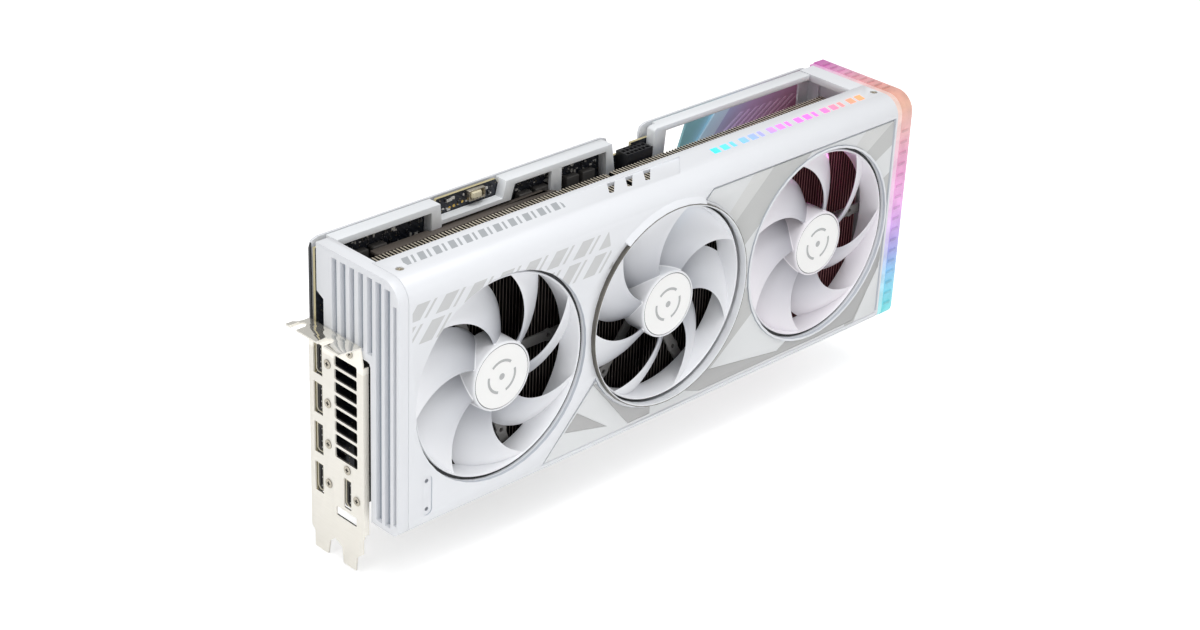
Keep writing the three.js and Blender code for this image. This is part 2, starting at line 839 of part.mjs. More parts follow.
// ---- fans ---------------------------------------------------------------------------------
// A curved plate between the hub and the ring.  s runs outward, t runs front to back.
function bladeSolid(fan, turn) {
  const rows = 4;
  const cols = 4;
  const rootRadius = HUB_RADIUS - 0.7;
  const tipRadius = RING_OUTER - RING_WALL * 0.5;
  const positions = [];
  const indices = [];
  const rad = Math.PI / 180;
  const pointAt = (s, t, side) => {
    const radius = rootRadius + (tipRadius - rootRadius) * s;
    const sweep = BLADE_SWEEP * (Math.pow(s, 1.35) - 1);
    const chord = BLADE_CHORD_TIP + (BLADE_CHORD_ROOT - BLADE_CHORD_TIP) * Math.pow(1 - s, 2.5);
    const angle = (turn + sweep - chord * t) * rad;
    const edge = Math.min(1, 4 * t + 0.25, 4 * (1 - t) + 0.3);
    const half = (0.95 - 0.35 * s) * edge;
    const depth = BLADE_FRONT + BLADE_DEPTH * (0.62 * t + 0.38 * t * t) + side * half;
    const x = radius * Math.cos(angle) * fan.spin;
    return [x + fan.x, depth + half * 0.2, radius * Math.sin(angle) + fan.z];
  };
  const layer = [[], []];
  for (const [k, side] of [[0, -1], [1, 1]]) {
    for (let i = 0; i <= rows; i++) {
      for (let j = 0; j <= cols; j++) {
        layer[k].push(positions.length / 3);
        positions.push(...pointAt(i / rows, j / cols, side));
      }
    }
  }
  const flip = fan.spin < 0;
  const tri = (a, b, c) => (flip ? indices.push(a, c, b) : indices.push(a, b, c));
  const at = (k, i, j) => layer[k][i * (cols + 1) + j];
  for (let i = 0; i < rows; i++) {
    for (let j = 0; j < cols; j++) {
      tri(at(0, i, j), at(0, i + 1, j), at(0, i, j + 1));
      tri(at(0, i + 1, j), at(0, i + 1, j + 1), at(0, i, j + 1));
      tri(at(1, i, j), at(1, i, j + 1), at(1, i + 1, j));
      tri(at(1, i + 1, j), at(1, i, j + 1), at(1, i + 1, j + 1));
    }
  }
  for (let j = 0; j < cols; j++) {
    tri(at(0, 0, j), at(0, 0, j + 1), at(1, 0, j));
    tri(at(0, 0, j + 1), at(1, 0, j + 1), at(1, 0, j));
    tri(at(0, rows, j), at(1, rows, j), at(0, rows, j + 1));
    tri(at(0, rows, j + 1), at(1, rows, j), at(1, rows, j + 1));
  }
  for (let i = 0; i < rows; i++) {
    tri(at(0, i, 0), at(1, i, 0), at(0, i + 1, 0));
    tri(at(0, i + 1, 0), at(1, i, 0), at(1, i + 1, 0));
    tri(at(0, i, cols), at(0, i + 1, cols), at(1, i, cols));
    tri(at(0, i + 1, cols), at(1, i + 1, cols), at(1, i, cols));
  }
  const g = new THREE.BufferGeometry();
  g.setAttribute("position", new THREE.Float32BufferAttribute(positions, 3));
  g.setIndex(indices);
  return orient(g);
}

// Returns the solid of a closed geometry, turned face-out if it came inside out.
function orient(g) {
  const first = solid(g);
  if (first.volume() > 0) {
    return first;
  }
  const index = g.index.array;
  for (let i = 0; i < index.length; i += 3) {
    const kept = index[i + 1];
    index[i + 1] = index[i + 2];
    index[i + 2] = kept;
  }
  return solid(g);
}

function fanRotor(fan) {
  const ring = turnedY(
    [
      [RING_OUTER - 0.55, RING_FRONT],
      [RING_OUTER, RING_FRONT + 0.4],
      [RING_OUTER, BLADE_FRONT + BLADE_DEPTH],
      [RING_OUTER - RING_WALL, BLADE_FRONT + BLADE_DEPTH],
      [RING_OUTER - RING_WALL, RING_FRONT + 0.4],
    ],
    fan.x,
    fan.z,
    ROUND,
  );
  const hub = turnedY(
    [
      [HUB_RADIUS - 1, HUB_FRONT],
      [HUB_RADIUS, HUB_FRONT + 1.4],
      [HUB_RADIUS, HUB_DEPTH],
      [HUB_RADIUS - 1.4, HUB_DEPTH],
      [HUB_RADIUS - 1.4, HUB_FRONT + 3.4],
      [2.2, HUB_FRONT + 3.4],
      [2.2, HUB_FRONT + 1.6],
      [HUB_RADIUS - 2.4, HUB_FRONT + 1.6],
      [HUB_RADIUS - 2.4, HUB_FRONT],
    ],
    fan.x,
    fan.z,
    26,
  );
  let body = join(ring, hub);
  for (let i = 0; i < BLADE_COUNT; i++) {
    const turn = fan.phase * fan.spin + (fan.spin < 0 ? 180 : 0) - (i * 360) / BLADE_COUNT;
    body = join(body, bladeSolid(fan, turn));
  }
  return body;
}

// Flat cap in the hub's bezel, with a plain ring of shallow dots.
function hubCap(fan) {
  let body = rodY(fan.x, fan.z, HUB_RADIUS - 2.6, HUB_FRONT + 0.35, HUB_FRONT + 1.55, 26);
  for (let i = 0; i < 3; i++) {
    const a = Math.PI / 2 + (i * 2 * Math.PI) / 3;
    const x = fan.x + 9 * Math.cos(a);
    const z = fan.z + 9 * Math.sin(a);
    body = cut(body, rodY(x, z, 1.6, 0, HUB_FRONT + 0.6, SMALL_ROUND));
  }
  return body;
}

function fanShaft(fan) {
  const rod = rodY(fan.x, fan.z, 1.5, HUB_FRONT + 1.6, 17.2, SMALL_ROUND);
  const collar = turnedY(
    [[1.4, HUB_FRONT + 3.42], [3.4, HUB_FRONT + 3.42], [3.4, HUB_FRONT + 4.4], [1.4, HUB_FRONT + 4.4]],
    fan.x,
    fan.z,
    SMALL_ROUND,
  );
  return join(rod, collar);
}

function fanBearing(fan) {
  return turnedY([[1.56, 6.2], [3.8, 6.2], [3.8, 16.9], [1.56, 16.9]], fan.x, fan.z, 16);
}

// The stator drum and the four arms that carry it, screwed to the duct's rear edge.
const ARM_ANGLES = [0, 115, 200, 290];
const CENTER_ARM_ANGLES = [65, 165, 233, 301];

function motorMount(fan) {
  const drum = [
    [3.9, 6.6],
    [13.5, 6.6],
    [13.5, 16.6],
    [16, 17.2],
    [16, 18.8],
    [3.9, 18.8],
  ];
  let body = turnedY(drum, fan.x, fan.z, 20);
  body = join(body, rodY(fan.x, fan.z, 6, 17.4, 18.8, 8));
  for (const degrees of fan.spin > 0 ? ARM_ANGLES : CENTER_ARM_ANGLES) {
    const a = (degrees * Math.PI) / 180;
    const dx = Math.cos(a);
    const dz = Math.sin(a);
    const half = 2.6;
    const reach = fan.opening + 0.9;
    const arm = [
      [fan.x + dx * 12 - dz * half, fan.z + dz * 12 + dx * half],
      [fan.x + dx * 12 + dz * half, fan.z + dz * 12 - dx * half],
      [fan.x + dx * reach + dz * half, fan.z + dz * reach - dx * half],
      [fan.x + dx * reach - dz * half, fan.z + dz * reach + dx * half],
    ];
    body = join(body, plateXZ(arm, 17.4, 18.8));
    const px = fan.x + dx * 45;
    const pz = fan.z + dz * 45;
    body = join(body, rodY(px, pz, 3.4, 17.3, 18.9, 8));
    body = cut(body, rodY(px, pz, 1.3, 10, 25, 6));
  }
  return body;
}

// The bright ring that stands proud round the centre opening.
function centerBezel() {
  const fan = FANS[1];
  const inner = fan.opening - 1.2;
  const outer = fan.opening - 0.1;
  return turnedY(
    [
      [inner + 0.3, HOOD_FRONT],
      [outer, HOOD_FRONT],
      [outer, 1.4],
      [inner, 1.4],
      [inner, HOOD_FRONT + 0.3],
    ],
    fan.x,
    fan.z,
    ROUND,
  );
}

// ---- bracket and sockets ------------------------------------------------------------------
const DISPLAY_SOCKETS = [73.05, 51.8, 30.06];
const SCREW_SPOTS = [
  [49.8, 73.1],
  [49.8, 52.1],
  [49.8, 29.9],
  [49.8, 8.2],
  [35.7, 21.9],
  [28.8, 8],
  SHELF_SCREW,
];
const VENT_COUNT = 8;
const VENT_PITCH = 7;
const NOTCHES = [60.3, 40];

function ioBracket() {
  const face = [
    [63.8, BRACKET_TOP],
    [63.8, -21.4],
    [61.3, -24],
    [61.1, -32.3],
    [51.3, -32.3],
    [49.7, -24.3],
    [45.6, -20.9],
    [40.4, -23.3],
    [39.4, -31.7],
    [30, -31.7],
    [29.2, -23.9],
    [24.3, -19.9],
    [24.6, -13],
    [23.5, -10.1],
    [24.1, -9.5],
    [24.1, 83.1],
    [26.1, BRACKET_TOP],
  ];
  const x0 = BRACKET_FACE;
  const x1 = BRACKET_FACE + BRACKET_THICKNESS;
  let body = plateYZ(face, x0, x1);
  // Side lip bent toward the card.
  body = join(body, box(x0, x0 + 3.3, 23.6, 24.5, -9.5, 81.5));
  // Mounting flange bent away from the card, with two screw notches one slot pitch apart.
  const flange = [
    [x1, 25.7],
    [x1, 63.8],
    [-4, 63.8],
    [-7, 64.4],
    [-9, 66],
    [FLANGE_EDGE, 66],
    [FLANGE_EDGE, 26.7],
  ];
  let plate = plateXY(flange, BRACKET_TOP - 0.9, BRACKET_TOP);
  for (const y of NOTCHES) {
    const notch = [
      [FLANGE_EDGE - 1, y - 2.2],
      [-7.6, y - 2.2],
      [-5.6, y - 1],
      [-5.6, y + 1],
      [-7.6, y + 2.2],
      [FLANGE_EDGE - 1, y + 2.2],
    ];
    plate = cut(plate, plateXY(notch, BRACKET_TOP - 2, BRACKET_TOP + 1));
    // A low rib beside each notch stiffens the flange.
    const rib = box(FLANGE_EDGE, -7.4, y + 2.3, y + 2.9, BRACKET_TOP - 0.5, BRACKET_TOP + 0.6);
    plate = join(plate, rib);
  }
  body = join(body, plate);
  for (const z of DISPLAY_SOCKETS) {
    body = cut(body, box(-4, 0, 53.8, 60.6, z - 8.3, z + 8.3));
  }
  body = cut(body, box(-4, 0, 54, 60.4, 0.2, 16.3));
  body = cut(body, box(-4, 0, 33.1, 38.6, 0.4, 16.7));
  // Vent windows and the wide lower window.
  for (let i = 0; i < VENT_COUNT; i++) {
    const z = 74.6 - i * VENT_PITCH;
    const vent = [
      [44.9, z],
      [44.9, z + 5.5],
      [28.2, z + 5.5],
      [28.2, z],
    ];
    body = cut(body, plateYZ(rounded(vent, 0.6, 1), -4, 0));
  }
  body = cut(body, box(-4, 0, 29.2, 44.5, -6.5, -1.75));
  for (const [y, z] of SCREW_SPOTS) {
    body = cut(body, rodX(y, z, 1.55, -4, 0, 8));
  }
  return body;
}

// Both kinds of socket sit just behind the bracket and look out through its cut-outs.
const SOCKET_FRONT = -0.45;

function displaySocket(zMiddle) {
  let shell = box(SOCKET_FRONT, 13, 54.4, 59.8, zMiddle - 8, zMiddle + 8);
  const mouth = [
    [54.8, zMiddle - 7.6],
    [58.2, zMiddle - 7.6],
    [59.4, zMiddle - 6.4],
    [59.4, zMiddle + 7.6],
    [54.8, zMiddle + 7.6],
  ];
  shell = cut(shell, plateYZ(mouth, -3, 9));
  const tongue = box(1.5, 9.5, 55.9, 56.9, zMiddle - 5.6, zMiddle + 5.8);
  return join(shell, tongue);
}

function mediaSocket(yLow, yHigh, zMiddle, footBack) {
  let shell = box(SOCKET_FRONT, 13, yLow, yHigh, zMiddle - 7.7, zMiddle + 7.7);
  const mouth = [
    [yLow + 0.4, zMiddle - 7.3],
    [yHigh - 1.8, zMiddle - 7.3],
    [yHigh - 0.4, zMiddle - 5.6],
    [yHigh - 0.4, zMiddle + 5.6],
    [yHigh - 1.8, zMiddle + 7.3],
    [yLow + 0.4, zMiddle + 7.3],
  ];
  shell = cut(shell, plateYZ(mouth, -3, 9));
  const tongue = box(1.5, 9.5, yLow + 1.4, yLow + 2.3, zMiddle - 5.4, zMiddle + 5.4);
  const foot = box(0.3, 13, yHigh - 0.3, footBack, zMiddle - 7.7, zMiddle + 7.7);
  return join(shell, tongue, foot);
}

function bracketScrew(y, z) {
  const head = rodX(y, z, 2.4, BRACKET_FACE - 0.4, BRACKET_FACE - 0.02, 14);
  const shank = rodX(y, z, 1.35, BRACKET_FACE - 0.1, BRACKET_FACE + 3.2, 8);
  const across = box(-4, BRACKET_FACE - 0.15, y - 1.2, y + 1.2, z - 0.35, z + 0.35);
  const upright = box(-4, BRACKET_FACE - 0.15, y - 0.35, y + 0.35, z - 1.2, z + 1.2);
  return cut(join(head, shank), across, upright);
}

function topScrew(x, y) {
  const head = rodZ(x, y, 1.9, COOLER_HEIGHT - 1.6, COOLER_HEIGHT - 0.3, 16);
  const shank = rodZ(x, y, 1.2, COOLER_HEIGHT - 7, COOLER_HEIGHT - 1.5, 8);
  const hex = rodZ(x, y, 0.9, COOLER_HEIGHT - 1, COOLER_HEIGHT + 1, 6);
  return cut(join(head, shank), hex);
}

// ---- materials and assembly ---------------------------------------------------------------
const paint = (color, roughness, metalness) =>
  new THREE.MeshStandardMaterial({ color, roughness, metalness });

const LOOKS = {
  whiteShell: () => paint(0xf1f2f4, 0.42, 0),
  offWhite: () => paint(0xe3e4e4, 0.5, 0),
  satinTrim: () => paint(0xb9b9b8, 0.35, 0.6),
  whiteMetal: () => paint(0xe9ebee, 0.38, 0.3),
  fanWhite: () => paint(0xeceaf2, 0.45, 0),
  capWhite: () => paint(0xefefed, 0.4, 0),
  darkPlastic: () => paint(0x1b1c20, 0.5, 0),
  board: () => paint(0x20242c, 0.55, 0),
  fins: () => paint(0x24211f, 0.4, 0.7),
  copper: () => paint(0x8a7f78, 0.3, 0.9),
  plateGrey: () => paint(0x6f6863, 0.45, 0.6),
  steel: () => paint(0xd5d0c6, 0.3, 0.9),
  silicon: () => paint(0x33373d, 0.25, 0.4),
  glow: () => paint(0xf3a3d6, 0.3, 0),
  glowTrim: () => paint(0xf6cfd6, 0.3, 0),
  slider: () => paint(0xe8dfc4, 0.5, 0),
};

const card = new THREE.Group();
card.position.copy(ORIGIN).multiplyScalar(-1);

function place(name, body, look) {
  const mesh = body.getMesh();
  const stride = mesh.numProp;
  const positions = new Float32Array(mesh.numVert * 3);
  for (let i = 0; i < mesh.numVert; i++) {
    positions.set(mesh.vertProperties.subarray(i * stride, i * stride + 3), i * 3);
  }
  const g = new THREE.BufferGeometry();
  g.setAttribute("position", new THREE.BufferAttribute(positions, 3));
  g.setIndex(new THREE.BufferAttribute(new Uint32Array(mesh.triVerts), 1));
  g.computeVertexNormals();
  const piece = new THREE.Mesh(g, look());
  piece.name = name;
  card.add(piece);
}

place("front_shroud", frontShroud(), LOOKS.whiteShell);
place("insert_panel", insertPanel(), LOOKS.offWhite);
place("center_bezel", centerBezel(), LOOKS.satinTrim);
place("trim_triangle", trimPiece(TRIANGLE_TRIM), LOOKS.satinTrim);
place("trim_wedge", trimPiece(WEDGE_TRIM), LOOKS.satinTrim);
place("trim_sweep", trimPiece(SWEEP_TRIM), LOOKS.satinTrim);
place("end_grille", endGrille(), LOOKS.whiteShell);
place("frame_rail_near", metalFrame(), LOOKS.whiteMetal);
place("frame_rail_far", metalFrameFar(), LOOKS.whiteMetal);
place("backplate", backplate(), LOOKS.whiteMetal);
place("back_brace", backBrace(), LOOKS.steel);
place("end_cap", endCap(), LOOKS.whiteShell);
place("light_bar_inner", lightBarInner(), LOOKS.glowTrim);
place("light_bar_outer", lightBarOuter(), LOOKS.glow);
place("top_light_strip", topLightStrip(), LOOKS.glow);
place("pcb", pcb(), LOOKS.board);
place("gpu_package", gpuPackage(), LOOKS.board);
place("gpu_die", gpuDie(), LOOKS.silicon);
place("power_socket", powerSocket(), LOOKS.darkPlastic);
place("switch_body", switchBody(), LOOKS.darkPlastic);
place("switch_slider", switchSlider(), LOOKS.slider);
place("fin_stack_near", finStack(14, 47), LOOKS.fins);
place("fin_stack_far", finStack(14 + 47 * FIN_PITCH, 47), LOOKS.fins);
place("vapor_chamber", vaporChamber(), LOOKS.copper);
place("sink_frame", sinkFrame(), LOOKS.plateGrey);
PIPE_ROWS.forEach((z, i) => place("heat_pipe_" + (i + 1), heatPipe(z), LOOKS.copper));
for (const fan of FANS) {
  place("fan_" + fan.name + "_rotor", fanRotor(fan), LOOKS.fanWhite);
  place("fan_" + fan.name + "_cap", hubCap(fan), LOOKS.capWhite);
  place("fan_" + fan.name + "_shaft", fanShaft(fan), LOOKS.steel);
  place("fan_" + fan.name + "_bearing", fanBearing(fan), LOOKS.copper);
  place("fan_" + fan.name + "_mount", motorMount(fan), LOOKS.darkPlastic);
}
place("io_bracket", ioBracket(), LOOKS.steel);
DISPLAY_SOCKETS.forEach((z, i) => place("display_socket_" + (i + 1), displaySocket(z), LOOKS.darkPlastic));
place("media_socket_rear", mediaSocket(54.6, 59.7, 8.25, PCB_FRONT - 0.02), LOOKS.darkPlastic);
place("media_socket_front", mediaSocket(33.3, 38.4, 8.55, 41), LOOKS.darkPlastic);
SCREW_SPOTS.forEach(([y, z], i) => place("bracket_screw_" + (i + 1), bracketScrew(y, z), LOOKS.steel));
place("top_screw_near", topScrew(12, 13.8), LOOKS.steel);
place("top_screw_far", topScrew(342.8, 15.9), LOOKS.steel);

export default card;
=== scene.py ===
"""Looks for the graphics card.  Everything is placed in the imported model's own frame."""

import math
import random

import bmesh
import bpy
from mathutils import Matrix, Vector


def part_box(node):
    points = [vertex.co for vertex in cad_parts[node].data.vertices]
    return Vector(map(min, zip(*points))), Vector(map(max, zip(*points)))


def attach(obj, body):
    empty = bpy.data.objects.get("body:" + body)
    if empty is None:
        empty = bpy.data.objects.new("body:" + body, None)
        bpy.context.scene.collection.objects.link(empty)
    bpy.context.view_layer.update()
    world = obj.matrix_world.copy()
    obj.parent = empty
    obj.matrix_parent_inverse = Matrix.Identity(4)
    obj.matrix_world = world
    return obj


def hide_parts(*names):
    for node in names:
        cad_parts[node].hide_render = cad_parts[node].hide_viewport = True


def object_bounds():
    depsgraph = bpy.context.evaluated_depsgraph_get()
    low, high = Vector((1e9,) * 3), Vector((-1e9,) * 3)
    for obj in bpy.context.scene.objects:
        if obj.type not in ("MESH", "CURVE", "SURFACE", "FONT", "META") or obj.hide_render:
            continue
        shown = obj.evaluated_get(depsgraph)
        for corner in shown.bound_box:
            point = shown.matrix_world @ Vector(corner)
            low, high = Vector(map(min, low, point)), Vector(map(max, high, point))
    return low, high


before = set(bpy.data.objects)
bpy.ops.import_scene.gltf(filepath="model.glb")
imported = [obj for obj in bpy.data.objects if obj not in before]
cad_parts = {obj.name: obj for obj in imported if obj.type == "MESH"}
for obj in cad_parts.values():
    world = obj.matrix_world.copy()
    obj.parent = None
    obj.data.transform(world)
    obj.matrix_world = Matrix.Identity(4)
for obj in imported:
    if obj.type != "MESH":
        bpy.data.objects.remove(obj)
cad_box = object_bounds()
random.seed(11)

# The card's own axes: x from the grille face, y from the fan face, z from the lower edge, in mm.
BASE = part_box("end_grille")[0]
TOP_Z = (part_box("end_grille")[1].z - BASE.z) * 1000
LENGTH = (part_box("light_bar_outer")[1].x - BASE.x) * 1000


def at(x, y, z):
    """A point given in the card's axes (mm), in the frame's metres."""
    return Vector((BASE.x + x / 1000, BASE.y + y / 1000, BASE.z + z / 1000))


def centre_of(node):
    """Middle of a node's box, in the card's axes (mm)."""
    low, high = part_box(node)
    mid = (low + high) / 2
    return ((mid.x - BASE.x) * 1000, (mid.y - BASE.y) * 1000, (mid.z - BASE.z) * 1000)


# ---- material helper ----------------------------------------------------------------------
class Look:
    """A principled material whose colour, roughness and bump come from nodes."""

    def __init__(self, name):
        self.material = bpy.data.materials.new(name)
        self.material.use_nodes = True
        self.tree = self.material.node_tree
        self.tree.nodes.clear()
        self.output = self.node("ShaderNodeOutputMaterial")
        self.shader = self.node("ShaderNodeBsdfPrincipled")
        self.tree.links.new(self.shader.outputs[0], self.output.inputs[0])
        self.place = self.node("ShaderNodeTexCoord").outputs["Object"]

    def node(self, kind, **settings):
        made = self.tree.nodes.new(kind)
        for key, value in settings.items():
            setattr(made, key, value)
        return made

    def feed(self, socket, value):
        if isinstance(value, bpy.types.NodeSocket):
            self.tree.links.new(value, socket)
        elif isinstance(value, (tuple, list)) and len(value) == 3 and socket.type == "RGBA":
            socket.default_value = (*value, 1)
        else:
            socket.default_value = value

    def set(self, **values):
        for key, value in values.items():
            self.feed(self.shader.inputs[key.replace("_", " ")], value)

    def math(self, operation, a, b=0.0, clamp=False):
        made = self.node("ShaderNodeMath", operation=operation, use_clamp=clamp)
        self.feed(made.inputs[0], a)
        self.feed(made.inputs[1], b)
        return made.outputs[0]

    def mix(self, factor, a, b, blend="MIX"):
        made = self.node("ShaderNodeMix", data_type="RGBA", blend_type=blend)
        self.feed(made.inputs[0], factor)
        self.feed(made.inputs[6], a)
        self.feed(made.inputs[7], b)
        return made.outputs[2]

    def noise(self, scale, detail=2.0, rough=0.5, stretch=None):
        made = self.node("ShaderNodeTexNoise")
        made.inputs["Scale"].default_value = scale
        made.inputs["Detail"].default_value = detail
        made.inputs["Roughness"].default_value = rough
        source = self.place
        if stretch:
            scaled = self.node("ShaderNodeMapping")
            scaled.inputs["Scale"].default_value = stretch
            self.tree.links.new(source, scaled.inputs["Vector"])
            source = scaled.outputs[0]
        self.tree.links.new(source, made.inputs["Vector"])
        return made.outputs[0]

    def ramp(self, value, stops):
        made = self.node("ShaderNodeValToRGB")
        line = made.color_ramp
        while len(line.elements) < len(stops):
            line.elements.new(0.5)
        for element, (where, colour) in zip(line.elements, stops):
            element.position = where
            element.color = (*colour, 1) if len(colour) == 3 else colour
        self.feed(made.inputs[0], value)
        return made.outputs[0]

    def bump(self, height, strength, distance):
        made = self.node("ShaderNodeBump")
        made.inputs["Strength"].default_value = strength
        made.inputs["Distance"].default_value = distance
        self.feed(made.inputs["Height"], height)
        return made.outputs[0]

    def axes(self):
        """Position in mm along the card's own axes, as three sockets."""
        split = self.node("ShaderNodeSeparateXYZ")
        self.tree.links.new(self.place, split.inputs[0])
        found = []
        for i in range(3):
            moved = self.math("SUBTRACT", split.outputs[i], BASE[i])
            found.append(self.math("MULTIPLY", moved, 1000.0))
        return found

    def facing(self):
        """The surface normal's three components."""
        split = self.node("ShaderNodeSeparateXYZ")
        geometry = self.node("ShaderNodeTexCoord")
        self.tree.links.new(geometry.outputs["Normal"], split.inputs[0])
        return split.outputs

    def between(self, value, low, high):
        above = self.math("GREATER_THAN", value, low)
        below = self.math("LESS_THAN", value, high)
        return self.math("MULTIPLY", above, below)

    def radius_from(self, cx, cz):
        """Distance in mm from a line parallel to the card's y axis."""
        x, _, z = self.axes()
        dx = self.math("SUBTRACT", x, cx)
        dz = self.math("SUBTRACT", z, cz)
        across = self.math("MULTIPLY", dx, dx)
        upward = self.math("MULTIPLY", dz, dz)
        return self.math("SQRT", self.math("ADD", across, upward))

    def left_of(self, x, z, p, q):
        """1 where (x, z) lies to the left of the line from p to q."""
        run = self.math("MULTIPLY", self.math("SUBTRACT", z, p[1]), q[0] - p[0])
        rise = self.math("MULTIPLY", self.math("SUBTRACT", x, p[0]), q[1] - p[1])
        return self.math("GREATER_THAN", self.math("SUBTRACT", run, rise), 0.0)


def srgb(r, g, b):
    """A colour of 0 to 255 per channel as linear light."""
    out = []
    for v in (r, g, b):
        v = v / 255
        out.append(v / 12.92 if v <= 0.04045 else ((v + 0.055) / 1.055) ** 2.4)
    return tuple(out)


def grained(name, colour, rough, metal=0.0, grain=2600, depth=0.012, vary=0.03, **extra):
    """A moulded or coated surface: faint cloudy tone, uneven gloss and a fine grain."""
    look = Look(name)
    cloud = look.noise(38, 3)
    darker = tuple(c * (1 - 2.2 * vary) for c in colour)
    tone = look.mix(cloud, darker, tuple(min(1, c * (1 + vary)) for c in colour))
    gloss = look.noise(900, 4, 0.6)
    look.set(
        Base_Color=tone,
        Metallic=metal,
        Roughness=look.math("ADD", look.math("MULTIPLY", gloss, 0.16), rough - 0.08),
        Normal=look.bump(look.noise(grain, 2), 0.5, depth / 1000),
    )
    look.set(**extra)
    look.tone = tone
    return look


# ---- mesh helper --------------------------------------------------------------------------
class Build:
    """Collects closed shells in card coordinates (mm) and turns them into one object."""

    def __init__(self):
        self.points = []
        self.faces = []
        self.marks = []
        self.mark = 0

    def shell(self, points, faces):
        start = len(self.points)
        self.points.extend(points)
        self.faces.extend([tuple(start + i for i in face) for face in faces])
        self.marks.extend([self.mark] * len(faces))

    def box(self, x0, x1, y0, y1, z0, z1):
        corners = [(x, y, z) for x in (x0, x1) for y in (y0, y1) for z in (z0, z1)]
        faces = [(0, 1, 3, 2), (4, 6, 7, 5), (0, 4, 5, 1), (2, 3, 7, 6), (0, 2, 6, 4), (1, 5, 7, 3)]
        self.shell(corners, faces)

    def prism(self, outline, low, high, axis="y"):
        """Outline in the plane across an axis, swept from low to high along it."""
        n = len(outline)

        def lift(a, b, t):
            return {"x": (t, a, b), "y": (a, t, b), "z": (a, b, t)}[axis]

        points = [lift(a, b, low) for a, b in outline] + [lift(a, b, high) for a, b in outline]
        faces = [tuple(range(n)), tuple(range(2 * n - 1, n - 1, -1))]
        for i in range(n):
            j = (i + 1) % n
            faces.append((i, i + n, j + n, j))
        self.shell(points, faces)

    def frame(self, outer, inner, low, high, axis="y"):
        """A tube between two outlines of the same length."""
        n = len(outer)

        def lift(a, b, t):
            return {"x": (t, a, b), "y": (a, t, b), "z": (a, b, t)}[axis]

        points = []
        for outline, t in ((outer, low), (outer, high), (inner, high), (inner, low)):
            points.extend(lift(a, b, t) for a, b in outline)
        faces = []
        for ring in range(4):
            after = (ring + 1) % 4
            for i in range(n):
                j = (i + 1) % n
                faces.append((ring * n + i, after * n + i, after * n + j, ring * n + j))
        self.shell(points, faces)

    def rod(self, a, b, radius, count=16, along="y", low=0.0, high=1.0):
        outline = []
        for i in range(count):
            t = 2 * math.pi * i / count
            outline.append((a + radius * math.cos(t), b + radius * math.sin(t)))
        self.prism(outline, low, high, along)

    def lathe(self, profile, x, z, count):
        """Closed profile of (radius, y) turned about the line through (x, z) along y."""
        rows = len(profile)
        points = []
        for i in range(count):
            t = 2 * math.pi * i / count
            for radius, y in profile:
                points.append((x + radius * math.cos(t), y, z + radius * math.sin(t)))
        faces = []
        for i in range(count):
            j = (i + 1) % count
            for k in range(rows):
                m = (k + 1) % rows
                faces.append((i * rows + k, i * rows + m, j * rows + m, j * rows + k))
        self.shell(points, faces)

    def disc(self, profile, x, z, count):
        """Open profile from the axis to the axis, both ends closed with fans."""
        inner = profile[1:-1]
        rows = len(inner)
        points = []
        for i in range(count):
            t = 2 * math.pi * i / count
            for radius, y in inner:
                points.append((x + radius * math.cos(t), y, z + radius * math.sin(t)))
        first = len(points)
        points.append((x, profile[0][1], z))
        points.append((x, profile[-1][1], z))
        faces = []
        for i in range(count):
            j = (i + 1) % count
            faces.append((first, j * rows, i * rows))
            faces.append((first + 1, i * rows + rows - 1, j * rows + rows - 1))
            for k in range(rows - 1):
                faces.append((i * rows + k, j * rows + k, j * rows + k + 1, i * rows + k + 1))
        self.shell(points, faces)

    def done(self, name, looks, body="card", bevel=0.0, sharp=35, segments=2):
        mesh = bpy.data.meshes.new(name)
        mesh.from_pydata([at(*p) for p in self.points], [], self.faces)
        for look in looks:
            mesh.materials.append(look.material)
        for polygon, mark in zip(mesh.polygons, self.marks):
            polygon.material_index = mark
        piece = bpy.data.objects.new(name, mesh)
        bpy.context.scene.collection.objects.link(piece)
        tidy_normals(mesh)
        finish_edges(piece, bevel, sharp, segments)
        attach(piece, body)
        return piece


def tidy_normals(mesh):
    work = bmesh.new()
    work.from_mesh(mesh)
    bmesh.ops.recalc_face_normals(work, faces=work.faces)
    work.to_mesh(mesh)
    work.free()


SMOOTHERS = {}


def smoother(angle):
    """A node group that shades smooth except across edges sharper than an angle."""
    if angle in SMOOTHERS:
        return SMOOTHERS[angle]
    group = bpy.data.node_groups.new("smooth_%d" % angle, "GeometryNodeTree")
    group.interface.new_socket("Geometry", in_out="INPUT", socket_type="NodeSocketGeometry")
    group.interface.new_socket("Geometry", in_out="OUTPUT", socket_type="NodeSocketGeometry")
    source = group.nodes.new("NodeGroupInput")
    sink = group.nodes.new("NodeGroupOutput")
    faces = group.nodes.new("GeometryNodeSetShadeSmooth")
    faces.domain = "FACE"
    edges = group.nodes.new("GeometryNodeSetShadeSmooth")
    edges.domain = "EDGE"
    edges.inputs["Shade Smooth"].default_value = False
    turn = group.nodes.new("GeometryNodeInputMeshEdgeAngle")
    test = group.nodes.new("FunctionNodeCompare")
    test.operation = "GREATER_THAN"
    test.inputs[1].default_value = math.radians(angle)
    link = group.links.new
    link(source.outputs[0], faces.inputs["Geometry"])
    link(faces.outputs[0], edges.inputs["Geometry"])
    link(turn.outputs[0], test.inputs[0])
    link(test.outputs[0], edges.inputs["Selection"])
    link(edges.outputs[0], sink.inputs[0])
    SMOOTHERS[angle] = group
    return group


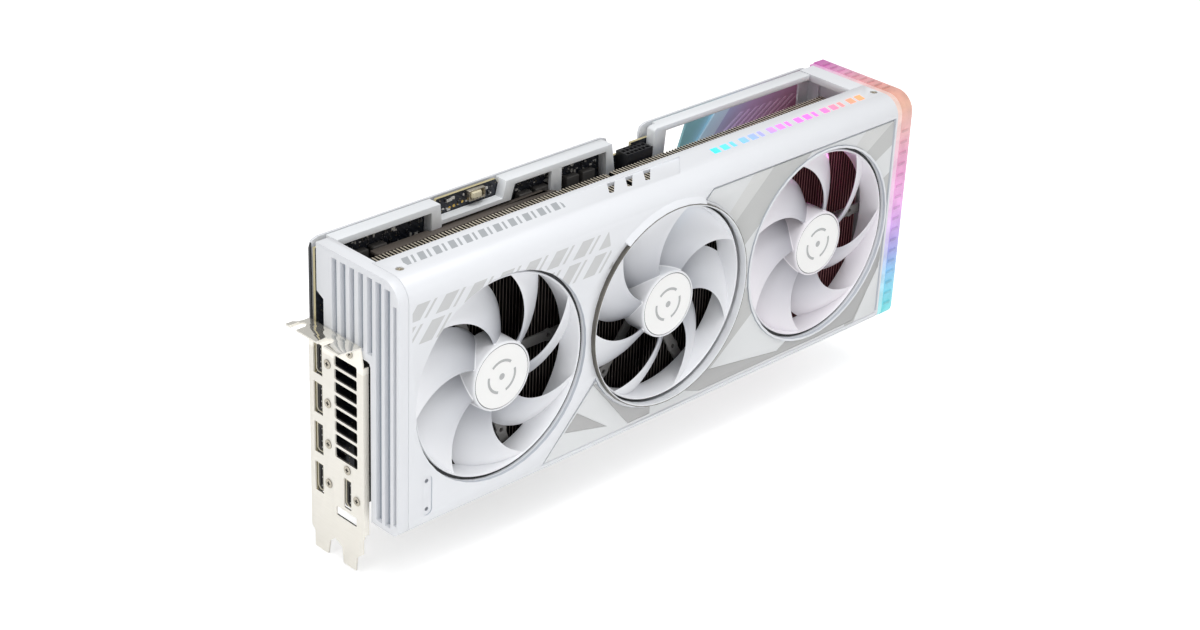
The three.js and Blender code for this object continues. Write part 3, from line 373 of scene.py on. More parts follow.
def finish_edges(piece, bevel, sharp, segments=2):
    if bevel:
        rounding = piece.modifiers.new("edges", "BEVEL")
        rounding.width = bevel / 1000
        rounding.segments = segments
        rounding.limit_method = "ANGLE"
        rounding.angle_limit = math.radians(40)
        rounding.use_clamp_overlap = True
    shading = piece.modifiers.new("shading", "NODES")
    shading.node_group = smoother(sharp)


def keep(node, look, bevel=0.0, sharp=35, segments=2):
    """A CAD node that stays: welded, edge-rounded by modifiers and given a finished material."""
    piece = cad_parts[node]
    weld = piece.modifiers.new("weld", "WELD")
    weld.merge_threshold = 0.000002
    finish_edges(piece, bevel, sharp, segments)
    piece.data.materials.clear()
    piece.data.materials.append(look.material)
    return piece


# ---- materials ----------------------------------------------------------------------------
WHITE = srgb(232, 234, 238)


def shell_white():
    """White shell with its printed bars and index marks, and painted shade on the pocket walls and the floors
    of the end grooves.
    """
    look = grained("shell_white", WHITE, 0.36, vary=0.012, Coat_Weight=0.12, Coat_Roughness=0.2)
    x, y, z = look.axes()
    normal = look.facing()
    # Slanted grey bars on the upper left of the face.
    slant = look.math("SUBTRACT", x, look.math("MULTIPLY", z, 0.8))
    step = look.math("FRACT", look.math("DIVIDE", slant, 17.0))
    bars = look.math("LESS_THAN", step, 0.46)
    thin = look.between(look.math("FRACT", look.math("DIVIDE", slant, 17.0)), 0.60, 0.70)
    bars = look.math("MAXIMUM", bars, thin)
    rows = look.math("MAXIMUM", look.between(z, 111.8, 119.8), look.between(z, 99.5, 109.4))
    row_end = look.math("ADD", x, look.math("MULTIPLY", z, 0.2))
    rows = look.math("MULTIPLY", rows, look.math("LESS_THAN", row_end, 154))
    rows = look.math("MULTIPLY", rows, look.math("GREATER_THAN", x, 8.0))
    face = look.math("LESS_THAN", normal[1], -0.9)
    print_face = look.math("MULTIPLY", look.math("MULTIPLY", bars, rows), face)
    # A row of grey index marks on the top face.
    slope = look.math("ADD", x, look.math("MULTIPLY", y, -0.45))
    unit = look.math("FRACT", look.math("DIVIDE", slope, 9.2))
    marks = look.math("MAXIMUM", look.math("LESS_THAN", unit, 0.42), look.between(unit, 0.6, 0.74))
    strip = look.math("MULTIPLY", look.between(y, 14.2, 21.2), look.between(x, 17.0, 116.0))
    top = look.math("GREATER_THAN", normal[2], 0.9)
    print_top = look.math("MULTIPLY", look.math("MULTIPLY", marks, strip), top)
    tone = look.mix(print_face, look.tone, srgb(203, 204, 205))
    tone = look.mix(print_top, tone, srgb(172, 176, 180))
    # Painted shade: pocket walls, bevels and the floors of the end grooves get a cooler, darker tone.
    upright = look.math("GREATER_THAN", normal[1], -0.93)
    upright = look.math("MULTIPLY", upright, look.between(z, 6.0, 122.5))
    wall = look.math("MULTIPLY", look.between(y, 0.04, 1.6), upright)
    wall = look.math("MULTIPLY", wall, look.math("GREATER_THAN", x, 6.6))
    tone = look.mix(look.math("MULTIPLY", wall, 0.85), tone, srgb(184, 190, 199))
    outward = look.math("LESS_THAN", normal[0], -0.8)
    groove = look.math("MULTIPLY", look.between(x, 1.2, 3.0), outward)
    tone = look.mix(look.math("MULTIPLY", groove, 0.9), tone, srgb(142, 152, 164))
    look.set(Base_Color=tone)
    return look


def panel_print():
    """Off-white panel with pale and grey slanted bands."""
    look = grained("panel_print", srgb(226, 228, 229), 0.4, vary=0.012)
    x, _, z = look.axes()
    a1 = look.left_of(x, z, (214.9, 102.2), (233.3, 120.5))
    a2 = look.left_of(x, z, (221.6, 97.2), (248.3, 120.5))
    a3 = look.left_of(x, z, (228.3, 80.5), (277.4, 120.5))
    upper = look.math("GREATER_THAN", z, 62.0)
    light = look.math("MULTIPLY", look.math("SUBTRACT", a2, a1), upper)
    dark = look.math("MULTIPLY", look.math("SUBTRACT", a3, a2), upper)
    b1 = look.left_of(x, z, (312.0, 113.0), (321.0, 121.0))
    b2 = look.left_of(x, z, (322.0, 107.5), (345.0, 121.5))
    b3 = look.left_of(x, z, (331.5, 100.4), (345.0, 107.0))
    b4 = look.left_of(x, z, (337.0, 87.0), (345.0, 91.0))
    right = look.math("GREATER_THAN", x, 300.0)
    light2 = look.math("MULTIPLY", look.math("SUBTRACT", b2, b1, clamp=True), right)
    dark2 = look.math("MULTIPLY", look.math("SUBTRACT", b3, b2, clamp=True), right)
    low = look.math("SUBTRACT", 1.0, b4)
    side = look.left_of(x, z, (325.8, 5.0), (345.2, 40.5))
    dark3 = look.math("MULTIPLY", look.math("MULTIPLY", low, side), look.math("GREATER_THAN", x, 318.0))
    l1 = look.left_of(x, z, (214.9, 20.5), (239.9, 39.7))
    l2 = look.left_of(x, z, (223.3, 43.9), (235.3, 58.0))
    band = look.math("MULTIPLY", look.math("SUBTRACT", l1, l2, clamp=True), look.between(x, 205.0, 262.0))
    lights = look.math("MAXIMUM", light, light2, clamp=True)
    lower = look.math("MAXIMUM", dark3, band)
    darks = look.math("MAXIMUM", look.math("MAXIMUM", dark, dark2), lower, clamp=True)
    fleck = look.noise(2600, 3, 0.7)
    grey = look.mix(fleck, srgb(190, 191, 190), srgb(204, 205, 204))
    pale = look.mix(fleck, srgb(212, 213, 212), srgb(220, 221, 220))
    tone = look.mix(lights, look.tone, pale)
    look.set(Base_Color=look.mix(darks, tone, grey))
    return look


def fan_white(side, tint):
    """Moulded white with painted shade toward the hub, where little light reaches."""
    cx, _, cz = centre_of("fan_%s_rotor" % side)
    look = grained("fan_" + side, srgb(*tint), 0.38, vary=0.01, grain=1800, depth=0.006)
    look.set(Coat_Weight=0.15, Coat_Roughness=0.25)
    radius = look.radius_from(cx, cz)
    # Painted shade: the blades are darkest at the roots beside the hub wall and lighten toward the ring.
    shade = look.ramp(
        look.math("DIVIDE", radius, 54.0),
        [
            (0.0, (1, 1, 1)),
            (0.34, (1, 1, 1)),
            (0.345, (0.46, 0.47, 0.5)),
            (0.6, (0.76, 0.77, 0.79)),
            (0.9, (1, 1, 1)),
        ],
    )
    look.set(Base_Color=look.mix(1.0, look.tone, shade, "MULTIPLY"))
    return look


def ring_look():
    """White ring whose outer wall is chrome, coloured dark with streaks as painted reflection and shade."""
    cx, _, cz = centre_of("fan_center_rotor")
    look = grained("ring_white", srgb(226, 228, 231), 0.34, vary=0.015)
    outer = look.math("GREATER_THAN", look.radius_from(cx, cz), 53.75)
    # Painted reflection and shade: the chrome wall is coloured dark streaked grey.
    streak = look.noise(60, 3, 0.6, (1, 8, 1))
    chrome = look.mix(streak, srgb(70, 68, 64), srgb(150, 146, 138))
    look.set(
        Base_Color=look.mix(outer, look.tone, chrome),
        Metallic=look.math("MULTIPLY", outer, 0.85),
    )
    return look


BAR_STOPS = [
    (4, (122, 236, 242)),
    (20, (138, 221, 250)),
    (30, (146, 203, 250)),
    (40, (170, 178, 244)),
    (50, (197, 171, 241)),
    (60, (230, 179, 247)),
    (70, (248, 184, 242)),
    (88, (244, 168, 217)),
    (100, (243, 174, 204)),
    (112, (244, 189, 192)),
    (128, (244, 193, 172)),
    (147, (233, 166, 151)),
    (164, (240, 170, 178)),
    (182, (229, 154, 200)),
    (197, (206, 84, 180)),
]


def lit_bar(name, wash, strength):
    """A lamp-lit diffuser whose colour runs along the edge of the card."""
    look = Look(name)
    _, y, z = look.axes()
    path = look.math("DIVIDE", look.math("ADD", y, z), 200.0)
    stops = []
    for where, colour in BAR_STOPS:
        mixed = [c + (255 - c) * wash for c in colour]
        stops.append((where / 200, srgb(*mixed)))
    hue = look.ramp(path, stops)
    cloud = look.noise(160, 3)
    deep = look.mix(1.0, hue, (0.3, 0.3, 0.3), "MULTIPLY")
    body = look.mix(look.math("MULTIPLY", cloud, 0.3), deep, hue)
    # Painted shade: the raised ribs glow less and so stand in for the shade of grooves.
    rib_shade = look.math("MAXIMUM", look.math("LESS_THAN", y, -0.12), look.math("GREATER_THAN", z, TOP_Z + 0.12))
    look.set(
        Base_Color=body,
        Roughness=look.math("ADD", look.math("MULTIPLY", look.noise(1500), 0.15), 0.22),
        Emission_Color=hue,
        Emission_Strength=look.math(
            "MULTIPLY",
            look.math("SUBTRACT", look.math("ADD", cloud, 1.5), look.math("MULTIPLY", rib_shade, 0.7)),
            strength / 2,
        ),
        Coat_Weight=0.3,
        Normal=look.bump(look.noise(700, 3), 0.3, 0.00002),
    )
    return look


def lit_dashes():
    """Glowing strip whose colour runs from cyan to orange along the card."""
    look = Look("lit_dashes")
    x = look.axes()[0]
    stops = [
        (0.0, srgb(40, 214, 236)),
        (0.14, srgb(96, 190, 250)),
        (0.32, srgb(150, 150, 250)),
        (0.50, srgb(236, 110, 236)),
        (0.70, srgb(252, 110, 190)),
        (0.86, srgb(252, 140, 120)),
        (1.0, srgb(252, 160, 96)),
    ]
    path = look.math("DIVIDE", look.math("SUBTRACT", x, 214.0), 122.0)
    hue = look.ramp(path, stops)
    look.set(
        Base_Color=hue,
        Roughness=look.math("ADD", look.math("MULTIPLY", look.noise(1200), 0.2), 0.25),
        Emission_Color=hue,
        Emission_Strength=0.75,
    )
    return look


def board_look():
    """Dark solder mask with buried traces, bare vias and a pale laminate edge."""
    look = Look("board")
    normal = look.facing()
    lines = look.node("ShaderNodeTexWave", wave_type="BANDS", bands_direction="DIAGONAL")
    lines.inputs["Scale"].default_value = 190
    lines.inputs["Distortion"].default_value = 3.5
    lines.inputs["Detail"].default_value = 2
    look.tree.links.new(look.place, lines.inputs["Vector"])
    trace = look.math("GREATER_THAN", lines.outputs[1], 0.72)
    cells = look.node("ShaderNodeTexVoronoi")
    cells.inputs["Scale"].default_value = 420
    look.tree.links.new(look.place, cells.inputs["Vector"])
    via = look.math("LESS_THAN", cells.outputs[0], 0.16)
    mask = look.mix(look.math("MULTIPLY", trace, 0.5), srgb(30, 33, 41), srgb(52, 56, 66))
    mask = look.mix(look.math("MULTIPLY", via, 0.7), mask, srgb(150, 140, 110))
    edge = look.math("GREATER_THAN", look.math("ABSOLUTE", normal[1]), 0.5)
    laminate = look.mix(look.noise(1200, 2, 0.5, (1, 1, 6)), srgb(178, 166, 122), srgb(206, 196, 156))
    look.set(
        Base_Color=look.mix(edge, laminate, mask),
        Roughness=look.math("ADD", look.math("MULTIPLY", look.noise(800), 0.2), 0.3),
        Metallic=look.math("MULTIPLY", via, 0.5),
        Normal=look.bump(trace, 0.4, 0.00003),
    )
    return look


def brushed(name, colour, rough, along=(1, 1, 60), metal=1.0, depth=0.006):
    look = Look(name)
    streak = look.noise(140, 3, 0.6, along)
    darker = tuple(c * 0.9 for c in colour)
    look.set(
        Base_Color=look.mix(streak, darker, colour),
        Metallic=metal,
        Roughness=look.math("ADD", look.math("MULTIPLY", look.noise(500, 3, 0.6, along), 0.2), rough - 0.1),
        Normal=look.bump(streak, 0.35, depth / 1000),
    )
    return look


def screw_nickel():
    """Bright screw steel with painted shade on the floor of the cross recess of the bracket screws."""
    look = brushed("screw_nickel", srgb(206, 199, 184), 0.28, (1, 30, 1))
    x = look.axes()[0]
    # Painted shade: the floor of the cross recess is near black.
    floor = look.math("MULTIPLY", look.between(x, -1.8, -1.52), look.math("LESS_THAN", look.facing()[0], 0.5))
    recess_shade = look.mix(look.noise(2600, 3), srgb(18, 16, 15), srgb(46, 42, 38))
    look.set(Base_Color=look.mix(floor, srgb(206, 199, 184), recess_shade))
    return look


def bracket_nickel():
    """Satin nickel sheet with a faint painted glow; the upward flange is polished enough to mirror what is
    above it.
    """
    look = Look("bracket_nickel")
    streak = look.noise(140, 3, 0.6, (1, 1, 18))
    upward = look.math("GREATER_THAN", look.facing()[2], 0.9)
    # Painted light: a stronger glow keeps the strip below the flange pale against the flange's shadow.
    not_upward = look.math("SUBTRACT", 1.0, upward)
    glow_under_flange = look.math("MULTIPLY", look.between(look.axes()[2], 78.0, 90.6), not_upward)
    satin = look.math("ADD", look.math("MULTIPLY", look.noise(600, 3), 0.12), 0.3)
    mirror = look.math("MULTIPLY", look.noise(300, 2), 0.12)
    gloss = look.math("MULTIPLY", look.math("SUBTRACT", satin, mirror), upward)
    look.set(
        Base_Color=look.mix(streak, srgb(240, 236, 226), srgb(250, 247, 239)),
        Emission_Color=srgb(240, 238, 228),
        Emission_Strength=look.math("ADD", 0.05, look.math("MULTIPLY", glow_under_flange, 0.17)),
        Metallic=look.math("ADD", look.math("MULTIPLY", upward, 0.72), 0.2),
        Roughness=look.math("SUBTRACT", satin, gloss),
        Normal=look.bump(streak, 0.3, 0.000005),
    )
    return look


def fin_look():
    """Fins with painted light and shade: near black on their sides, grey on the front edges and tan on the
    folded tops where light falls, with painted wine-red lamp glow toward the far end.
    """
    look = Look("fins")
    x, _, z = look.axes()
    normal = look.facing()
    # Painted highlight: the folded tops are tan.
    crest = look.math("GREATER_THAN", z, 119.3)
    crest = look.math("MULTIPLY", crest, look.math("GREATER_THAN", look.math("ABSOLUTE", normal[2]), 0.6))
    front = look.math("LESS_THAN", normal[1], -0.6)
    # Painted lamp tint and glow toward the far end.
    warm = look.math("MULTIPLY", look.math("GREATER_THAN", x, 230.0), 0.6)
    deep = look.mix(warm, srgb(15, 14, 14), srgb(74, 30, 40))
    tone = look.mix(front, deep, look.mix(warm, srgb(120, 112, 106), srgb(172, 108, 112)))
    tone = look.mix(crest, tone, srgb(218, 208, 190))
    painted_lamp_glow = look.math("MULTIPLY", warm, look.math("LESS_THAN", z, 119.0))
    look.set(
        Base_Color=tone,
        Metallic=0.35,
        Emission_Color=tone,
        Emission_Strength=look.math("MULTIPLY", painted_lamp_glow, 0.3),
        Roughness=look.math("ADD", look.math("MULTIPLY", look.noise(700, 3, 0.6, (1, 1, 20)), 0.25), 0.28),
        Normal=look.bump(look.noise(900, 2, 0.5, (1, 1, 12)), 0.3, 0.00002),
    )
    return look


def flow_look():
    """White coat of the backplate; its inner face near the far end carries painted lamp tint and glow, and
    its end face painted shade.
    """
    look = grained("backplate_white", WHITE, 0.4, metal=0.15, vary=0.02)
    x, y, z = look.axes()
    # Painted lamp tint and glow on the inner faces near the far end, teal to wine red, paler on the strut.
    inner = look.math("LESS_THAN", y, 65.0)
    inner = look.math("MULTIPLY", inner, look.math("LESS_THAN", look.math("ABSOLUTE", look.facing()[2]), 0.9))
    inner = look.math("MULTIPLY", inner, look.math("LESS_THAN", z, 131.0))
    slant = look.math("SUBTRACT", x, look.math("SUBTRACT", z, 112.0))
    run = look.math("DIVIDE", look.math("SUBTRACT", slant, 216.0), 120.0)
    hue = look.ramp(
        run,
        [
            (0.0, srgb(120, 158, 166)),
            (0.27, srgb(132, 180, 188)),
            (0.36, srgb(150, 192, 214)),
            (0.46, srgb(170, 172, 206)),
            (0.62, srgb(168, 138, 176)),
            (0.85, srgb(146, 104, 130)),
            (1.0, srgb(112, 66, 86)),
        ],
    )
    strut = look.math("LESS_THAN", y, 63.0)
    hue = look.mix(look.math("MULTIPLY", strut, 0.6), hue, srgb(206, 222, 238))
    inner = look.math("MULTIPLY", inner, look.math("GREATER_THAN", x, 223.0))
    tone = look.mix(inner, look.tone, hue)
    # Painted shade: the end face is dark grey.
    end = look.math("MULTIPLY", look.math("LESS_THAN", x, 1.2), look.math("LESS_THAN", y, 65.1))
    tone = look.mix(end, tone, look.mix(look.noise(900), srgb(52, 53, 57), srgb(66, 67, 71)))
    look.set(Base_Color=tone, Emission_Color=tone, Emission_Strength=look.math("MULTIPLY", inner, 0.34))
    return look


SHELL = shell_white()
PANEL = panel_print()
TRIM = grained("satin_trim", srgb(186, 186, 186), 0.34, metal=0.35, grain=3800, depth=0.01, vary=0.03)
METAL_WHITE = grained("metal_white", srgb(239, 242, 245), 0.34, metal=0.1, grain=1700, vary=0.015)
FAN = {
    "left": fan_white("left", (243, 244, 247)),
    "center": fan_white("center", (243, 244, 247)),
    # The right fan's faint pink is painted glow from the lamps behind it.
    "right": fan_white("right", (243, 240, 245)),
}
BAR = lit_bar("bar_outer", 0.0, 0.5)
BAR_PALE = lit_bar("bar_inner", 0.4, 0.55)
DASHES = lit_dashes()
BOARD = board_look()
STEEL = bracket_nickel()
SCREW = screw_nickel()
BRASS = brushed("brass_sleeve", srgb(196, 158, 92), 0.35)
SHAFT = brushed("ground_steel", srgb(190, 192, 196), 0.2, (1, 60, 1))
NICKEL = brushed("nickel_pipe", srgb(150, 142, 134), 0.3, (40, 1, 1))
CAST = grained("cast_plate", srgb(116, 108, 101), 0.5, metal=0.45, grain=2200, depth=0.02, vary=0.05)
BLACK = grained("black_plastic", srgb(25, 25, 28), 0.42, grain=2400, depth=0.02, vary=0.1)
MOUNT = grained("mount_grey", srgb(126, 124, 122), 0.5, grain=2000, depth=0.015, vary=0.06)
CREAM = grained("slider_cream", srgb(228, 220, 192), 0.4, vary=0.03)
SILICON = brushed("silicon", srgb(70, 74, 84), 0.15, (1, 1, 1))
FINS = fin_look()
FLOW = flow_look()
GOLD = brushed("contact_gold", srgb(214, 178, 96), 0.25, (30, 1, 1))
CHIP = grained("chip_black", srgb(38, 39, 42), 0.46, grain=3200, depth=0.015, vary=0.08)
CHOKE = grained("choke_grey", srgb(86, 84, 82), 0.5, metal=0.2, grain=1500, depth=0.03, vary=0.1)
LINER = brushed("socket_liner", srgb(226, 220, 200), 0.35, (1, 1, 30), metal=0.3)
TIN = brushed("tin", srgb(200, 200, 200), 0.35, (1, 1, 1))
PALE = grained("part_pale", srgb(206, 204, 198), 0.4, vary=0.08)
CERAMIC = grained("ceramic_tan", srgb(166, 138, 108), 0.5, vary=0.1)

# ---- CAD nodes that stay ------------------------------------------------------------------
for node, look, bevel in [
    ("front_shroud", SHELL, 0.35),
    ("insert_panel", PANEL, 0.12),
    ("trim_triangle", TRIM, 0.08),
    ("trim_wedge", TRIM, 0.08),
    ("trim_sweep", TRIM, 0.08),
    ("center_bezel", ring_look(), 0.12),
    ("end_grille", SHELL, 0.35),
    ("frame_rail_near", METAL_WHITE, 0.6),
    ("frame_rail_far", METAL_WHITE, 0.6),
    ("backplate", FLOW, 0.2),
    ("back_brace", STEEL, 0.25),
    ("end_cap", SHELL, 0.3),
    ("light_bar_inner", BAR_PALE, 0.2),
    ("light_bar_outer", BAR, 0.3),
    ("top_light_strip", DASHES, 0.0),
    ("pcb", BOARD, 0.0),
    ("gpu_package", BOARD, 0.1),
    ("gpu_die", SILICON, 0.05),
    ("power_socket", BLACK, 0.2),
    ("switch_body", SCREW, 0.15),
    ("switch_slider", CREAM, 0.15),
    ("vapor_chamber", NICKEL, 0.3),
    ("sink_frame", CAST, 0.3),
    ("io_bracket", STEEL, 0.2),
    ("media_socket_rear", BLACK, 0.15),
    ("media_socket_front", BLACK, 0.15),
    ("top_screw_near", SCREW, 0.15),
    ("top_screw_far", SCREW, 0.15),
]:
    keep(node, look, bevel)
for i in range(1, 5):
    keep("heat_pipe_%d" % i, NICKEL, 0.4)
for i in range(1, 4):
    keep("display_socket_%d" % i, BLACK, 0.15)
for i in range(1, 8):
    keep("bracket_screw_%d" % i, SCREW, 0.06)
for side in ("left", "center", "right"):
    keep("fan_%s_shaft" % side, SHAFT, 0.1)
    keep("fan_%s_bearing" % side, BRASS, 0.1)
    keep("fan_%s_mount" % side, MOUNT, 0.2)

# ---- fans ---------------------------------------------------------------------------------
BLADES = 7
RING_SIDES = 144
HUB_SIDES = 96
HUB_RADIUS = 18.0
# Turn of the first blade in degrees, and which way the blades sweep.
PHASE = {"left": (135.5, 1), "center": (126.0, -1), "right": (160.2, 1)}


def blade(build, x, z, turn, spin, ring, hub):
    """One swept blade with a rounded leading edge and a fillet at its root."""
    rows, cols = 20, 14
    root, tip = hub - 0.7, ring - 0.5
    layers = ([], [])
    for k, side in enumerate((-1, 1)):
        for i in range(rows + 1):
            s = i / rows
            radius = root + (tip - root) * s
            sweep = 33 * (s ** 1.35 - 1)
            chord = 37 + 12 * (1 - s) ** 2.5
            for j in range(cols + 1):
                t = j / cols
                angle = math.radians(turn + sweep - chord * t)
                edge = min(1.0, math.sqrt(max(0.0, 1 - (1 - min(t / 0.16, 1)) ** 2)) + 0.12)
                edge = min(edge, 4 * (1 - t) + 0.25)
                fillet = 0.7 * math.exp(-s * 16)
                half = (0.95 - 0.4 * s) * edge + fillet * edge
                depth = 3.2 + 12.6 * (0.62 * t + 0.38 * t * t) + side * half
                layers[k].append((x + spin * radius * math.cos(angle), depth, z + radius * math.sin(angle)))
    points = layers[0] + layers[1]
    width = cols + 1
    half_count = len(layers[0])
    faces = []
    for i in range(rows):
        for j in range(cols):
            a = i * width + j
            faces.append((a, a + 1, a + width + 1, a + width))
            b = half_count + a
            faces.append((b, b + width, b + width + 1, b + 1))
    for j in range(cols):
        for base in (0, rows * width):
            a = base + j
            faces.append((a, a + half_count, a + half_count + 1, a + 1))
    for i in range(rows):
        for base in (0, cols):
            a = i * width + base
            faces.append((a, a + width, a + width + half_count, a + half_count))
    build.shell(points, faces)


def rotor(side):
    """Bladed wheel with its outer ring and hub, and the badge that covers the hub."""
    x, _, z = centre_of("fan_%s_rotor" % side)
    low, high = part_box("fan_%s_rotor" % side)
    ring = round((high.z - low.z) * 1000 / 2, 1)
    hub = HUB_RADIUS
    phase, spin = PHASE[side]
    build = Build()
    build.lathe(
        [
            (ring - 0.85, 2.5), (ring - 0.6, 2.2), (ring - 0.25, 2.25), (ring, 2.6),
            (ring, 15.7), (ring - 1, 15.7), (ring - 1, 2.9),
        ],
        x,
        z,
        RING_SIDES,
    )
    build.lathe(
        [
            (hub - 1.1, 1.1), (hub - 1.0, 0.95), (hub - 0.65, 0.92), (hub - 0.3, 1.15),
            (hub - 0.05, 1.8), (hub, 2.6), (hub, 15.6), (hub - 0.4, 16.0),
            (hub - 1.4, 16.0), (hub - 1.4, 4.4), (2.3, 4.4), (2.3, 2.6), (hub - 1.1, 2.6),
        ],
        x,
        z,
        HUB_SIDES,
    )
    for i in range(BLADES):
        turn = phase * spin + (180 if spin < 0 else 0) - i * 360 / BLADES
        blade(build, x, z, turn, spin, ring, hub)
    piece = build.done("fan_%s_wheel" % side, [FAN[side]], "fan_" + side, 0, 40)
    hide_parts("fan_%s_rotor" % side)
    # Badge: shallow dome with a raised rim.
    cap = Build()
    cap.disc(
        [
            (0, 1.02), (5, 1.03), (11, 1.09), (15.4, 1.2), (16.0, 1.13),
            (16.5, 1.17), (16.8, 1.4), (16.8, 2.4), (0, 2.4),
        ],
        x,
        z,
        HUB_SIDES,
    )
    badge = cap.done("fan_%s_badge" % side, [badge_look(side, x, z)], "fan_" + side, 0, 30)
    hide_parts("fan_%s_cap" % side)


def badge_look(side, cx, cz):
    """White badge with a plain broken ring printed in grey."""
    look = grained("badge_" + side, srgb(248, 248, 247), 0.36, vary=0.01)
    x, _, z = look.axes()
    radius = look.radius_from(cx, cz)
    angle = look.math("ARCTAN2", look.math("SUBTRACT", z, cz), look.math("SUBTRACT", x, cx))
    third = look.math("FRACT", look.math("ADD", look.math("DIVIDE", angle, 2 * math.pi / 3), 0.6))
    arcs = look.math("MULTIPLY", look.between(radius, 7.6, 9.0), look.math("LESS_THAN", third, 0.72))
    dot = look.math("LESS_THAN", radius, 1.7)
    ink = look.math("MAXIMUM", arcs, dot)
    speck = look.noise(2400, 2)
    seam = look.math("GREATER_THAN", radius, 16.45)
    tone = look.mix(ink, look.tone, look.mix(speck, srgb(168, 169, 170), srgb(190, 191, 192)))
    look.set(Base_Color=look.mix(seam, tone, srgb(120, 121, 123)))
    return look


def end_post():
    """Painted post that closes the far end of the long opening behind the backplate's edge."""
    build = Build()
    outline = [(335.6, 62.1), (344.4, 62.1), (344.4, 63.6), (335.6, 63.6)]
    build.prism(outline, 4.0, 128.0, "z")
    build.prism([(343.2, 54.5), (344.4, 54.5), (344.4, 62.2), (343.2, 62.2)], 4.0, 128.0, "z")
    build.done("end_post", [METAL_WHITE], "card", 0.25)


def gap_shade_ring(side):
    """Black ring put at the bottom of the gap between the turning ring and the shell as painted shade."""
    x, _, z = centre_of("fan_%s_rotor" % side)
    wide = 53.1 if side == "center" else 53.8
    build = Build()
    outline = [(52.4, 3.4), (52.5, 3.3), (wide - 0.1, 3.3), (wide, 3.4), (wide, 8.0), (52.4, 8.0)]
    build.lathe(outline, x, z, RING_SIDES)
    build.done("fan_%s_gap_liner" % side, [BLACK], "card", 0, 40)


for side in ("left", "center", "right"):
    rotor(side)
    gap_shade_ring(side)
end_post()


# ---- heat sink ----------------------------------------------------------------------------
FIN_PITCH = 2.1
FIN_THICK = 0.36
TOOTH_LOW, TOOTH_HIGH = 0.02, 0.85


def fins(name, node):
    """Stack of thin fins; a folded tooth on each one's top and bottom edge spans part of the gap."""
    low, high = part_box(node)
    x0, y0, z0 = ((low[i] - BASE[i]) * 1000 for i in range(3))
    x1, y1, z1 = ((high[i] - BASE[i]) * 1000 for i in range(3))
    count = round((x1 - x0) / FIN_PITCH)
    pitch = (x1 - x0 - 0.4) / (count - 1)
    build = Build()
    for i in range(count):
        x = x0 + i * pitch
        build.box(x, x + FIN_THICK, y0, y1 - 0.6, z0, z1 - 0.4)
        if i < count - 1:
            build.box(x + TOOTH_LOW, x + TOOTH_HIGH, y0 + 1.5, y1 - 0.4, z1 - 0.36, z1)
            build.box(x + TOOTH_LOW, x + TOOTH_HIGH, y0 + 1.5, y1 - 0.4, z0 - 0.02, z0 + 0.3)
    # A thin sheet at the back joins the fins.
    build.box(x0, x1, y1 - 0.5, y1, z0 + 1, z1 - 1)
    piece = build.done(name, [FINS], "card", 0, 30)
    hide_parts(node)


fins("fins_near", "fin_stack_near")
fins("fins_far", "fin_stack_far")


# ---- board parts --------------------------------------------------------------------------
def board_parts():
    """Small parts, chokes, memory, test pads and edge contacts on the circuit board."""
    face = (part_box("pcb")[0].y - BASE.y) * 1000
    small = Build()
    spots = [(10, 63, 100, 127), (73, 93, 124.5, 130.5), (103, 109, 124.5, 130.5), (118, 178, 103, 127.5)]
    for x0, x1, z0, z1 in spots:
        for _ in range(int((x1 - x0) * (z1 - z0) / 9)):
            x = random.uniform(x0, x1)
            z = random.uniform(z0, z1)
            w, h = random.choice([(1.6, 0.8), (1.0, 0.5), (2.0, 1.2), (0.8, 1.6), (0.5, 1.0)])
            tall = random.uniform(0.35, 0.8)
            small.mark = random.choice([0, 0, 0, 4, 4, 2])
            small.box(x - w / 2, x + w / 2, face - tall, face - 0.01, z - h / 2, z + h / 2)
            small.mark = 3
            if w >= h:
                small.box(x - w / 2 - 0.22, x - w / 2, face - tall * 0.9, face - 0.01, z - h / 2, z + h / 2)
                small.box(x + w / 2, x + w / 2 + 0.22, face - tall * 0.9, face - 0.01, z - h / 2, z + h / 2)
            else:
                small.box(x - w / 2, x + w / 2, face - tall * 0.9, face - 0.01, z - h / 2 - 0.22, z - h / 2)
                small.box(x - w / 2, x + w / 2, face - tall * 0.9, face - 0.01, z + h / 2, z + h / 2 + 0.22)
    small.done("board_small_parts", [CHIP, CERAMIC, CHOKE, TIN, PALE])
    chokes = Build()
    for x in (123, 134, 155, 166, 20, 31):
        chokes.box(x, x + 8.4, face - 4.2, face - 0.02, 112.5, 121)
    chokes.done("power_chokes", [CHOKE], bevel=0.5, segments=3)
    memory = Build()
    for x, z in [(78, 26), (78, 46), (78, 66), (96, 92), (114, 92), (142, 46), (142, 66), (142, 26)]:
        memory.box(x, x + 12, face - 1.1, face - 0.02, z, z + 14)
    memory.done("memory_chips", [CHIP], bevel=0.15)
    pads = Build()
    for i in range(4):
        pads.rod(81.1 + i * 2.7, 125.2 + i * 0.3, 0.75, 16, "y", face - 0.08, face - 0.005)
    pads.done("gold_test_pads", [GOLD])
    contacts = Build()
    low = (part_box("pcb")[0].z - BASE.z) * 1000
    back = (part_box("pcb")[1].y - BASE.y) * 1000
    for start, stop in ((46.0, 56.5), (59.4, 130.0)):
        count = int((stop - start) / 1.0)
        for i in range(count):
            x = start + i
            contacts.box(x, x + 0.7, face - 0.04, face, low + 0.9, low + 5.4)
            contacts.box(x, x + 0.7, back, back + 0.04, low + 0.9, low + 5.4)
    contacts.done("edge_contacts", [GOLD])


board_parts()


